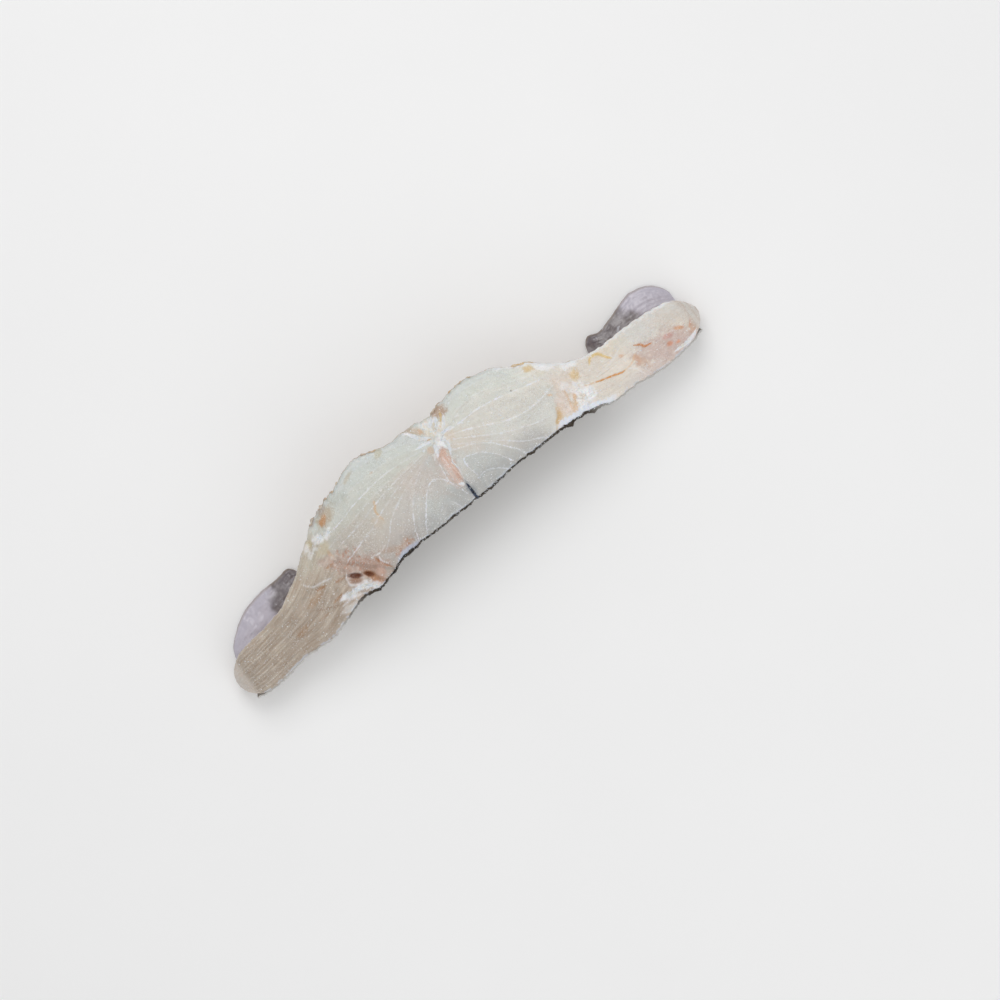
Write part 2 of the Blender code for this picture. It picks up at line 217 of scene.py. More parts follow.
def loin_cliffs(x, y):
    """How far each place is past the ragged end of a loin, on the right and on the left."""
    torn = 1.5 * grain(7, 12, x, y) + 0.6 * grain(2, 13, x, y, octaves=2)
    right = x - (RIGHT_CLIFF[0] - RIGHT_BEND * (y - RIGHT_CLIFF[1]) ** 2) + torn
    left = LEFT_CLIFF[0] - LEFT_LEAN * (y - LEFT_CLIFF[1]) - x + torn
    return right, left


SPLITS = {
    "long": [(104.6, -22), (108.4, -23.2), (115, -24.9), (121, -26.7), (124.4, -27.2)],
    "short": [(138.5, -17.5), (142.5, -19.8), (144, -22.2), (149, -23)],
    "yellow": [(107.8, -10.4), (110, -7.6), (112.6, -7.2), (116.3, -8), (119.2, -12.5), (121.9, -15.4)],
    "pocket": [(-88.2, -30.2), (-84.6, -33.8), (-84, -38), (-81.2, -42.6), (-77.6, -43.6)],
    "crease": [(-76.2, -25.6), (-75.8, -29), (-73.9, -33.7), (-70.8, -38)],
}
# The cut vein's dark middle, its lower wall (painted lighter, as painted light on its lit side), its pale lip
# and its turn
VEIN, VEIN_LIT_WALL, VEIN_LIP, VEIN_TURN = (-93.7, -28.2), (-95.4, -30.6), (-94.6, -29.4), -32
POCKET, POCKET_TURN = (-85.8, -32.7), -50
# Broad swells of the cut face: middle, reach along and across, and height
SWELLS = [((38, -2), (27, 22), 2.2), ((-46, -2), (30, 23), 2.2), ((-1, -10), (7, 26), -1.8)]
# The cut vein, the wet pocket next to it and the lump below: centre, reach, turn and height
DENTS = [
    (VEIN, (8, 4.8), VEIN_TURN, 0.6), (VEIN, (5.2, 1.8), VEIN_TURN, -3.2),
    (VEIN_LIT_WALL, (4.6, 2.2), VEIN_TURN, -1.3), (POCKET, (3.2, 1.4), POCKET_TURN, -2.6),
    ((-80.2, -36.4), (3.2, 4.2), -60, 1.2),
]  # fmt: skip
# The splits and creases again, with half width and depth
FURROWS = [
    ("pocket", 3.0, 1.8), ("crease", 1.0, 1.4), ("long", 1.1, 0.7), ("short", 1.0, 0.6), ("yellow", 1.2, 0.3),
]  # fmt: skip
BLOOD_LINE = [(-0.5, 4), (-2.6, -5), (-4, -14), (-4.4, -23)]
FAT = [(-104, -37), (-96.5, -35.5), (-89.5, -38.5), (-85.5, -43), (-84, -47)]


def across(x, y):
    """How far across the piece each place lies, on lines that follow its two edges."""
    low, high = run_of(SKIN_EDGE, x), run_of(CAVITY_EDGE, x)
    return 50 * (y - low) / (high - low)


def face_relief(x, y):
    """Height of the cut face above its plain level."""
    over = grain(9, 1, x, y)
    fine = grain(2.2, 2, x, y, octaves=2)
    z = 0
    for middle, reach, rise in SWELLS:
        z = z + rise * np.exp(-(((x - middle[0]) / reach[0]) ** 2) - ((y - middle[1]) / reach[1]) ** 2)
    # The face drops past the ragged end of each loin
    right, left = loin_cliffs(x, y)
    z -= 0.8 * ramp(0, 1.8, right) * ramp(-13, -20, y)
    z -= 2.0 * ramp(0, 2.8, left) * ramp(-14, -24, y)
    # Muscle bands and fibres along the arms
    arm, over_arm = ramp(86, 108, np.abs(x)) * np.where(x > 0, 0.2, 0.6), across(x, y)
    z += arm * (0.8 * np.sin(over_arm * 0.4 + over * 1.5) + 0.9 * grain(2.6, 3, x * 0.1, over_arm))
    z += 0.26 * over + 0.14 * fine
    # The torn collar end of each loin is lumpy
    torn = patch(x, y, (89, -17), (15, 20)) * 0.7 + patch(x, y, (-93, -24), (20, 22), -45)
    z += np.clip(torn, 0, 1) * (0.9 * grain(5, 4, x, y) + 0.45 * fine)
    rim = grain(2.5, 5, x, y) * 0.16
    for centre, reach, turn, rise in DENTS:
        z += rise * patch(x, y, centre, reach, turn, rim)
    for name, half, depth in FURROWS:
        z -= depth * streak(x, y, SPLITS[name], half, rim)
    # The blood line below the backbone sinks a little, in fine furrows
    furrows = 0.6 + 0.4 * grain(1.3, 14, midline(x, y), y * 0.12, octaves=2)
    z -= furrows * streak(x, y, BLOOD_LINE, 6.4, rim)
    # Gristle stands up where the flakes meet, in a torn dome and thick cords
    cords = grain(1.7, 6, x, y * 0.3)
    z += patch(x, y, (3.2, 17), (10, 9), 50, rim) * (0.2 + 0.9 * cords)
    z += (1.0 + 0.5 * fine) * patch(x, y, (1.6, 6.0), (5.2, 4.2), -40, rim)
    node = patch(x, y, (94.6, -23.6), (9, 7), -60, rim)
    z += (0.9 + 0.9 * grain(2.4, 17, x, y) + 0.4 * fine) * node
    z += (1.0 + 0.7 * grain(2, 19, x, y)) * streak(x, y, FAT, 3.8, rim)
    z += (0.5 + 0.6 * grain(2, 18, x, y)) * patch(x, y, (-95.5, 4.2), (9, 5), 10, rim)
    return z


def skin_line(x):
    """The cut edge on the skin side, with its small nicks."""
    nicks = 0.5 * grain(3.5, 7, x) + 0.5 * grain(13, 8, x) + 0.35 * grain(1.6, 15, x)
    return run_of(SKIN_EDGE, x) - 0.4 + nicks


def cavity_line(x):
    """The cut edge on the cavity side: torn in places, where membrane came away."""
    torn = ramp(-112, -100, x) * ramp(-34, -56, x) + ramp(-20, -8, x) * ramp(24, 12, x)
    torn += ramp(64, 72, x) * ramp(88, 80, x)
    ragged = grain(4, 9, x) + 0.5 * grain(1.7, 16, x)
    return run_of(CAVITY_EDGE, x) - 0.2 + (0.45 + 0.7 * torn) * ragged + 0.5 * grain(12, 10, x)


def face_height(x, y):
    """Height of the cut face above the surface that the piece lies on."""
    return run_of(FACE_HEIGHT, x) + face_relief(x, y)


def to_tip(rings):
    """Draws rings of points in towards their foot near an arm's end, which rounds the arm off."""
    x, y, z = np.moveaxis(rings, -1, 0)
    t = np.clip(1 - np.minimum(x - LEFT_TIP, RIGHT_TIP - x) / TIP_ROUNDING, 0, 1)
    scale = np.maximum(0.2, np.sqrt(1 - t * t))
    mid, foot = y.mean(1, keepdims=True), 0.3 * z.max(1, keepdims=True)
    return np.stack([x, mid + (y - mid) * scale, foot + (z - foot) * scale], -1)


def skin_wall(x, skin_y, height):
    """Where the outer wall stands at a share of its height, for every station."""
    slope = run_of(SKIN_WALL_SLOPE, x)
    return skin_y + slope * (1 - height) - SKIN_WALL_BULGE * slope * np.sin(np.pi * height)


def rings_at(x, *sides):
    """Rings of points at every x, from sides given as pairs of y and z."""
    count = len(x)
    pairs = []
    for y, z in sides:
        y, z = np.broadcast_arrays(y, z)
        y, z = (np.broadcast_to(v, (count, v.shape[-1])) for v in (y, z))
        pairs.append(np.stack([np.broadcast_to(x[:, None], y.shape), y, z], -1))
    return np.concatenate(pairs, 1)


def swept(rings):
    """A closed shell through rings of points, as its points and faces. Each end is a fan."""
    count, size = rings.shape[:2]
    spots = rings.reshape(-1, 3)
    number = np.arange(count * size).reshape(count, size)
    here, there = number[:-1], number[1:]
    next_here, next_there = np.roll(here, -1, 1), np.roll(there, -1, 1)
    faces = np.stack([here, there, next_there, next_here], -1).reshape(-1, 4).tolist()
    for row, end in ((number[0], rings[0]), (number[-1], rings[-1])):
        spots = np.vstack([spots, end.mean(0)])
        faces += [[a, b, len(spots) - 1] for a, b in zip(row, np.roll(row, -1))]
    return spots, faces


def piece_of(name, *shells):
    """One smooth mesh object from closed shells, whose faces all point outwards."""
    spots, faces = [], []
    for points, loops in shells:
        start = sum(len(s) for s in spots)
        spots.append(points)
        faces += [[start + k for k in loop] for loop in loops]
    mesh = bpy.data.meshes.new(name)
    mesh.from_pydata((np.vstack(spots) * MM).tolist(), [], faces)
    shape = bmesh.new()
    shape.from_mesh(mesh)
    bmesh.ops.recalc_face_normals(shape, faces=shape.faces)
    shape.to_mesh(mesh)
    shape.free()
    mesh.shade_smooth()
    piece = bpy.data.objects.new(name, mesh)
    bpy.context.scene.collection.objects.link(piece)
    return piece


def places_of(piece):
    """The points of a piece, in millimetres."""
    spots = np.empty(len(piece.data.vertices) * 3, np.float32)
    piece.data.vertices.foreach_get("co", spots)
    return spots.reshape(-1, 3).astype(float).T / MM


def lay(piece, name, values):
    """Stores one number or one colour for each point of a piece, for its material to read."""
    values = np.asarray(values, np.float32)
    kind = "FLOAT" if values.ndim == 1 else "FLOAT_COLOR"
    if kind == "FLOAT_COLOR":
        values = np.hstack([values, np.ones((len(values), 1), np.float32)])
    layer = piece.data.attributes.new(name, kind, "POINT")
    layer.data.foreach_set("value" if kind == "FLOAT" else "color", values.ravel())


# Stains, fat and blood on the face: centre, reach, turn, strength and colour
STAINS = [
    ((-86.6, 13.2), (9, 5.2), 28, 0.85, (184, 168, 144)),
    ((-88.8, 12.4), (4.6, 2.4), 35, 0.95, (190, 142, 96)),
    ((-86.5, 18), (5, 2), 20, 0.7, (176, 162, 150)), ((-96, 14.8), (3.4, 1.8), 40, 0.7, (176, 164, 158)),
    ((11, 24.2), (7, 4.8), -10, 0.95, (182, 156, 134)), ((7.4, 25), (3, 1.6), -10, 0.3, (138, 112, 96)),
    ((-8.4, 22.8), (7.4, 3.6), -38, 0.9, (192, 174, 152)), ((-4.8, 20.2), (3, 2), -40, 0.8, (206, 172, 138)),
    ((-3.4, 12.7), (2.4, 0.9), -20, 1.0, (204, 166, 122)), ((-6.8, 7), (2.8, 3.2), 0, 0.7, (208, 186, 162)),
    ((-34.9, 25.4), (3.8, 2.6), 20, 0.7, (190, 185, 160)),
    ((-59.8, 24.9), (5, 1.6), 24, 0.6, (186, 174, 148)),
    ((2.2, 13.6), (0.9, 1.5), -30, 0.8, (222, 184, 142)), ((3.2, -0.6), (1, 1.4), 0, 0.8, (220, 172, 136)),
    ((8.6, 7), (4.4, 4), -30, 0.6, (216, 200, 180)), ((-45.9, 18.2), (1.6, 0.8), 0, 0.6, (186, 158, 120)),
    ((57.2, 6.2), (0.75, 0.6), 0, 0.9, (120, 112, 98)), ((96, -9.5), (3.2, 4.8), -20, 0.85, (224, 196, 148)),
    ((74.6, 10.6), (4.4, 2.6), -30, 0.9, (216, 190, 142)), ((79, 5), (5, 3), -20, 0.5, (224, 214, 194)),
    ((75.4, -10.8), (0.7, 2), 50, 0.8, (214, 172, 124)),
    ((155, -29.5), (26, 9.5), -10, 0.8, (200, 176, 168)),
    ((160, -25.6), (4.2, 2.4), -20, 0.85, (206, 162, 152)),
    ((158.4, -30.6), (2.4, 1.6), 0, 0.85, (212, 150, 122)),
    ((163.4, -32.8), (2.2, 1.3), 0, 0.85, (216, 148, 110)),
    ((135, -26), (2.4, 4.4), -10, 0.7, (206, 164, 144)), ((137, -29), (3, 8), 30, 0.5, (212, 178, 152)),
    ((169.5, -26), (3.6, 1.6), -30, 0.85, (216, 162, 122)), ((177, -31), (4, 4.6), 0, 0.7, (212, 174, 146)),
    ((165, -17), (14, 6), -20, 0.4, (216, 202, 188)), ((125, -10), (14, 5), -6, 0.5, (222, 210, 188)),
    ((127.8, -18.2), (2, 1.4), -30, 0.7, (216, 176, 140)), ((140, -11), (16, 5), -4, 0.5, (218, 217, 211)),
    ((84, -27.6), (3.2, 6), 10, 0.75, (226, 192, 152)), ((78.6, -21), (5, 8), 10, 0.6, (228, 212, 202)),
    ((-116.4, -21.4), (4.6, 1.2), -8, 0.8, (168, 122, 80)), ((-124.5, -25), (8, 3), 10, 0.45, (168, 130, 92)),
    ((-112.4, -33.4), (4.6, 1.0), 12, 0.7, (164, 118, 76)),
    ((-143.5, -36.5), (6, 2.4), 10, 0.4, (164, 124, 82)), ((-126, -37.5), (6, 1.0), 6, 0.4, (164, 130, 98)),
    ((-103.4, -24.5), (4.4, 1.1), -10, 0.7, (172, 128, 92)),
    ((-104, -13.6), (3.6, 1.2), 0, 0.6, (174, 130, 90)), ((-98, -8), (1.2, 4.5), 10, 0.6, (190, 150, 108)),
    ((-105.7, 5.9), (2.6, 3.2), 0, 0.7, (198, 184, 146)), ((-100.2, -2), (7, 4), 30, 0.6, (202, 190, 162)),
    ((-118, -5), (8, 6), 0, 0.5, (200, 192, 176)), ((-61, -9.5), (4, 5), 60, 0.3, (204, 180, 152)),
    ((-101, -10), (8, 2.6), 0, 0.45, (222, 210, 198)), ((-120, -17.6), (5, 3), -8, 0.45, (142, 122, 100)),
    ((-73, 17.5), (8, 5), -24, 0.4, (176, 178, 166)), ((-97, -26), (3.4, 2), -32, 0.45, (128, 92, 72)),
]  # fmt: skip
STAIN_LINES = [
    ([(-55.4, 3), (-56.2, 0), (-58.4, -3.7), (-57.6, -10.5)], 1.3, 0.7, (208, 170, 122)),
    ([(88.6, -13.6), (89.2, -18.6), (87.1, -22.4), (85.4, -28.5), (79.7, -32.3)], 1.5, 0.75, (222, 178, 132)),
    ([(84.6, -14), (83.7, -19.8), (81.5, -26.4)], 1.0, 0.6, (222, 182, 142)),
    (SPLITS["long"], 1.0, 1.0, (216, 146, 58)),
    ([(90, -17), (94.5, -18.6), (99.5, -20.4)], 1.0, 0.6, (222, 180, 132)),
    ([(98, -20), (103, -21.4), (108, -23)], 0.7, 0.5, (226, 184, 134)),
    ([(122, -26.8), (128, -26.6), (132, -25), (136, -22)], 1.2, 0.45, (226, 190, 148)),
    (SPLITS["short"], 1.0, 1.0, (208, 136, 76)), (SPLITS["yellow"], 1.5, 0.8, (226, 192, 116)),
    ([(12.4, 23), (11.6, 20.4), (9.6, 17.4), (6.4, 14.6)], 1.0, 0.95, (206, 176, 118)),
    ([(180, -18), (181.5, -23), (176, -29)], 1.3, 0.7, (218, 158, 128)),
    ([(-131, -29), (-120, -35), (-104, -40)], 1.2, 0.6, (152, 128, 108)),
    ([(-72, -25), (-65, -29), (-58, -31)], 3.2, 0.6, (172, 144, 124)),
]  # fmt: skip
# White gristle and fat on the face: lines and patches
WHITE_LINES = [
    ([(-2.4, 13.4), (-5, 14.4), (-7.6, 16.4), (-9.8, 20), (-12.7, 24.4), (-15, 25.8)], 1.4, 1.0),
    ([(0, 9.6), (-3.4, 11), (-6.8, 11.8), (-11, 12.6), (-14.9, 12.8)], 1.3, 0.95),
    ([(1.4, 10.6), (4, 7), (4.3, 3), (3.4, -0.4), (2.4, -3)], 1.3, 1.0),
    ([(3.6, 10.6), (7, 11.2), (10.4, 11), (14, 10)], 1.3, 0.95),
    ([(-1.4, 8), (-3.2, 6), (-4.2, 3.2), (-5.6, 0.6)], 1.2, 0.95),
    ([(-5.4, 4), (-7, 2), (-8.6, -0.4)], 0.6, 0.5),
    ([(8.6, 22.4), (6.4, 18), (4, 15.6), (2.6, 14.6)], 1.3, 0.8),
    ([(6, 24), (5, 22), (3.2, 20.4), (1, 19)], 1.5, 0.8),
    ([(13.4, 20), (11, 16.4), (8.2, 12.4)], 1.2, 0.8),
    ([(-7.2, -3), (-7.8, -5.6), (-8.6, -11), (-9.2, -16)], 0.55, 0.75),
    ([(1.8, -4), (-0.1, -7.8), (0.5, -11), (0.6, -14), (-0.4, -20)], 0.7, 0.55),
    ([(-3.2, -1), (-3.4, -6), (-4.8, -12)], 0.5, 0.4),
    ([(-4.6, -21.4), (-3.2, -22.4), (-1.8, -23)], 1.5, 0.9),
    ([(-9.8, 9.6), (-10.6, 8.2)], 0.6, 0.9),
    ([(17.4, 11.2), (18.6, 9.8), (20, 8.2)], 0.6, 0.9),
    ([(18, 14.4), (20.4, 14.2), (22, 12.2)], 0.4, 0.6),
    ([(-125, -12), (-120.6, -17.4), (-113.5, -18.8), (-106, -20.6)], 0.8, 0.6),
    ([(-112, -35.6), (-100.6, -35.8), (-91.8, -37.2), (-85.6, -41.8), (-83.8, -47)], 3.4, 0.8),
    ([(-112, -39), (-103, -38.6), (-95, -40.4)], 1.3, 0.45),
    ([(-97.2, -23.3), (-99.7, -27.1), (-99.8, -31), (-96.1, -33.4), (-91.1, -34.3)], 0.9, 0.6),
    ([(-74.2, -27.4), (-74, -31), (-71.4, -35)], 0.8, 0.7),
    ([(-66, -24), (-72, -26), (-79, -25)], 0.8, 0.5),
    ([(158, -36.6), (166, -37), (173, -35.6), (179, -32.8)], 1.5, 0.9),
    ([(126, -26.5), (131, -31), (133.5, -37)], 0.9, 0.35),
    ([(108, -19), (120, -17.5), (131, -13)], 0.8, 0.25),
    ([(90.5, -28.5), (86, -30.5), (80, -32), (75, -32.4)], 1.8, 0.9),
    ([(92, -12), (92.6, -16), (92, -20)], 1.2, 0.6),
]  # fmt: skip
WHITE_PATCHES = [
    ((1.6, 6.2), (4.9, 4.0), -40, 0.95), ((96.4, -24.2), (6.2, 5.0), -60, 1.0),
    ((89.7, -27), (5.4, 4), 40, 0.85), ((93.4, -18), (5, 4.4), 0, 0.65),
    ((-98.6, 4.6), (4.6, 3.4), 0, 0.8), ((-91.6, 4), (4.6, 2.2), 35, 0.8),
    ((-104, 1), (3, 1.4), -30, 0.5), ((-109, -0.4), (3.2, 2), 40, 0.5),
    ((-107, -43), (9, 2.2), -4, 0.4), ((84, 6.2), (8, 3.4), -38, 0.9),
    ((97, -2), (8, 3.2), -14, 0.9), ((87, -12), (3, 5), 20, 0.5),
    ((104, -37), (6, 2), 0, 0.7), ((-108.5, 5), (3.6, 2.6), 40, 0.5),
    ((-1.4, 21.4), (3.4, 2.4), -50, 0.6), ((7.6, 21.2), (1.4, 1.8), 0, 0.8),
]  # fmt: skip


def flesh_tint(x, y, z, number):
    """The colour of the flesh from place to place, before its gristle lines."""
    soft, small = grain(22, 20, x, y), grain(5, 21, x, y)
    tiny = grain(1.6, 22, x, y, octaves=2)
    rim = small * 0.3 + tiny * 0.25
    rows = [FIRST_LEFT_FLAKE] + [row[2] for row in LEFT_SHEETS]
    rows += [FIRST_RIGHT_FLAKE] + [row[2] for row in RIGHT_SHEETS]
    shades = np.array([colour(*row) for row in rows])
    tint = shades[number.astype(int)]

    def wash(share, shade):
        nonlocal tint
        share = np.clip(share, 0, 1)[:, None]
        tint = tint * (1 - share) + colour(*shade) * share

    def spot(centre, reach, turn, share, shade, ragged=rim):
        wash(share * patch(x, y, centre, reach, turn, ragged), shade)

    def band(line, width, share, shade, ragged=rim):
        wash(share * streak(x, y, line, width, ragged), shade)

    from_skin, from_cavity = y - skin_line(x), cavity_line(x) - y
    right, left = loin_cliffs(x, y)
    # Duller low on the left loin, and warmer in the middle of both
    wash(0.55 * ramp(-42, -86, x + soft * 10) * ramp(14, -8, y), (186, 174, 163))
    spot((-22, -6), (22, 12), -40, 0.35, (204, 188, 178))
    spot((16, -1), (16, 9), -30, 0.4, (218, 204, 188))
    # Greyer and clearer towards the skin, most of all beside the slit, where a grey-blue spot over the slit's
    # walls is also painted shade inside the narrow slit
    wash(0.75 * ramp(18, 2, from_skin + soft * 4) * ramp(68, 52, x) * ramp(-80, -60, x), (168, 168, 167))
    spot((SLIT_X, -28), (2.6, 8), 0, 0.6, (120, 128, 138))
    wash(0.45 * ramp(12, 2, from_cavity + soft * 4) * ramp(70, 52, x) * ramp(-86, -70, x), (206, 210, 207))
    # Torn tissue round the top of the backbone
    spot((2.8, 17), (9.6, 8.4), 0, 0.9, (226, 221, 210))
    # Collar flesh beyond the loins: tan and pink on the right, darker and browner on the left
    wash(0.85 * ramp(-1, 4, right) * ramp(8, -6, y + soft * 3), (226, 212, 199))
    wash(0.8 * ramp(60, 84, x + soft * 4) * ramp(-8, 2, y), (226, 221, 211))
    wash(0.9 * ramp(86, 100, x + soft * 4), (229, 221, 210))
    wash(0.6 * ramp(128, 146, x) * ramp(-26, -14, y), (218, 217, 214))
    wash(0.6 * ramp(8, 2, from_skin) * ramp(112, 122, x) * ramp(140, 128, x), (214, 208, 204))
    wash(0.6 * ramp(11, 3, from_skin) * ramp(124, 138, x), (206, 186, 180))
    wash(0.9 * ramp(-2, 5, left) * ramp(0, -14, y + soft * 4), (188, 170, 155))
    wash(0.9 * ramp(-96, -112, x + soft * 6), (190, 177, 161))
    spot((-108, 0), (12, 14), -35, 0.6, (200, 193, 176))
    wash(0.7 * ramp(-10, -30, y + soft * 6) * ramp(-100, -114, x), (164, 148, 133))
    # Fibres along the arms, cream and brown on the left and fainter on the right
    fibre = grain(1.8, 28, x * 0.09, across(x, y))
    arm = ramp(90, 108, np.abs(x)) * np.where(x > 0, 0.35, 1.0)
    wash(0.4 * arm * ramp(0.05, 0.5, fibre), (214, 203, 186))
    wash(0.35 * arm * ramp(-0.1, -0.5, fibre), (154, 126, 100))
    # Browner low on the left loin, and orange in the hollow past the end of the right one
    wash(0.5 * ramp(-10, -30, y) * ramp(-34, -52, x) * ramp(-92, -78, x), (168, 156, 148))
    wash(0.9 * ramp(-0.3, 0.8, right) * ramp(8.5, 1.5, right) * ramp(-16, -23, y), (212, 178, 126))
    # Reddish band where the left loin was torn from the collar
    band([(-106, -8), (-96, -16), (-86, -24), (-72, -34)], 10, 0.75, (182, 156, 142))
    specks = ramp(0.12, 0.45, grain(1.5, 24, x, y, octaves=2))
    band([(-102, -9), (-92, -18), (-82, -26)], 11, 0.7 * specks, (184, 126, 98))
    spot((-82, -30), (9, 7), -40, 0.5, (174, 138, 120))
    spot((-57, -33.5), (9, 5), 15, 0.7, (178, 150, 130))
    spot((-56, -33.5), (9, 5), 15, 0.8 * specks, (172, 118, 88))
    spot((-80.4, -36.6), (4.6, 5.6), -60, 0.85, (196, 164, 148))
    band(SPLITS["pocket"], 3.2, 0.85, (178, 130, 94))
    band(SPLITS["crease"], 0.9, 0.9, (178, 124, 84))
    for row in STAINS:
        spot(*row)
    for row in STAIN_LINES:
        band(*row)
    # The blood line: coral between the loins, in streaks, paler towards its sides
    streaks = grain(1.2, 25, midline(x, y), y * 0.1, octaves=2)
    band([(-2, 5), (-4.2, -4), (-5.6, -14), (-6, -22)], 8.6, 0.6, (208, 191, 181))
    coral = streak(x, y, [(0, 5), (-1.2, -1), (-2.6, -8), (-3.2, -14), (-3.4, -22.6)], 6.2, rim)
    wash(coral * (0.6 + 0.5 * streaks), (217, 184, 168))
    band([(-0.4, 3.4), (-1.4, 0), (-2.6, -5), (-3.4, -9)], 3.6, 0.55, (219, 172, 146))
    band([(-1.6, -8), (-1.6, -14), (-3, -20)], 2.0, 0.5, (216, 168, 144))
    wash(0.6 * coral * ramp(0.1, 0.6, streaks), (230, 214, 206))
    for row in WHITE_LINES:
        band(*row, (242, 243, 247), rim * 1.6)
    for row in WHITE_PATCHES:
        spot(*row, (243, 243, 244), rim * 1.4)
    # Cream and white shreds in the torn dome and in the right knot
    torn = patch(x, y, (2.6, 16.4), (9, 8), 50, rim) + patch(x, y, (91, -24), (9, 9), 0, rim)
    torn, shreds = np.clip(torn, 0, 1), grain(1.6, 27, x, y * 0.35)
    wash(0.45 * torn * ramp(0.05, 0.4, shreds), (220, 200, 168))
    wash(0.6 * torn * ramp(0.0, -0.4, shreds), (242, 242, 241))
    # A cut vein with a thin pale lip: dark red-brown inside, partly blood and partly painted shade under its
    # upper wall, and painted lighter at its lower wall as painted light on its lit side
    spot(VEIN_LIP, (6.6, 4.6), VEIN_TURN, 0.7, (212, 200, 196), rim * 0.5)
    spot(VEIN_LIT_WALL, (5.0, 2.3), VEIN_TURN, 1.0, (164, 130, 110), rim * 0.3)
    spot(VEIN, (5.2, 1.9), VEIN_TURN, 1.0, (112, 54, 18), rim * 0.4)
    spot(POCKET, (3.4, 1.6), POCKET_TURN, 0.95, (134, 76, 38), rim * 0.5)
    # A pale, broken rim just inside the skin, widest beside the right collar
    broken = ramp(-0.25, 0.2, small)
    wash(0.75 * ramp(1.9, 0.5, from_skin + small * 0.9) * broken, (204, 211, 222))
    wide = ramp(62, 72, x) * ramp(112, 100, x)
    wash(0.95 * wide * ramp(4.2, 2.4, from_skin + 2 * tiny + small), (228, 233, 243))
    wash(0.85 * ramp(2.4, 0.8, from_cavity + small * 1.2) * ramp(46, 60, x), (238, 239, 240))
    folded = ramp(-68, -61, x) * ramp(-45, -51, x)
    wash(0.85 * folded * ramp(3.2, 1.6, from_skin + small), (178, 187, 205))
    # Walls below the cut face: muscle bands towards the cavity
    below = ramp(1.2, 4, face_height(x, y) - z)
    wash(below, (208, 196, 184))
    wash(0.5 * below * ramp(-0.1, 0.5, grain(9, 23, x * 0.4, z * 1.4)), (196, 166, 152))
    wash(0.5 * below * ramp(0.0, 0.5, grain(4, 26, x * 0.3, z * 1.6)), (222, 219, 214))
    shade = 1 + 0.04 * soft + 0.035 * small + 0.045 * tiny
    return np.clip(tint * shade[:, None], 0, 1)


def stations():
    """Places along the piece, closer together at the round ends and at the slit."""
    x = np.arange(LEFT_TIP + 1.5, RIGHT_TIP - 1.5, STATION_STEP)
    x = x[np.abs(x - SLIT_X) > SLIT_REACH + 0.1]
    ends = np.array([0, 0.15, 0.4, 0.8])
    near_slit = SLIT_X + np.arange(0.1 - SLIT_REACH, SLIT_REACH, SLIT_STEP)
    return np.sort(np.concatenate([x, LEFT_TIP + ends, RIGHT_TIP - ends, near_slit]))


def flake_numbers(x, y):
    """The flake number, width and plainness of the sheets, over both loins."""
    left, right = flakes(LEFT_SHEETS, -1, x, y), flakes(RIGHT_SHEETS, 1, x, y)
    on_right = midline(x, y) > 0
    number = np.where(on_right, right[0] + len(LEFT_SHEETS) + 1, left[0])
    width, show = (np.where(on_right, b, a) for a, b in zip(left[1:], right[1:]))
    past_right, past_left = loin_cliffs(x, y)
    loin = ramp(3, -3, past_right) * ramp(6, -3, past_left) * ramp(90, 78, x) * ramp(-104, -90, x)
    from_star = np.hypot(x - STAR[0], y - STAR[1])
    clear = ramp(2.6, 4.6, np.abs(midline(x, y))) * ramp(4, 13, from_star)
    # On the left they are faint near the star
    faint = np.where(on_right | (number < 2.5), 1, 0.35 + 0.65 * ramp(24, 60, from_star))
    return number, width, show * loin * clear * faint


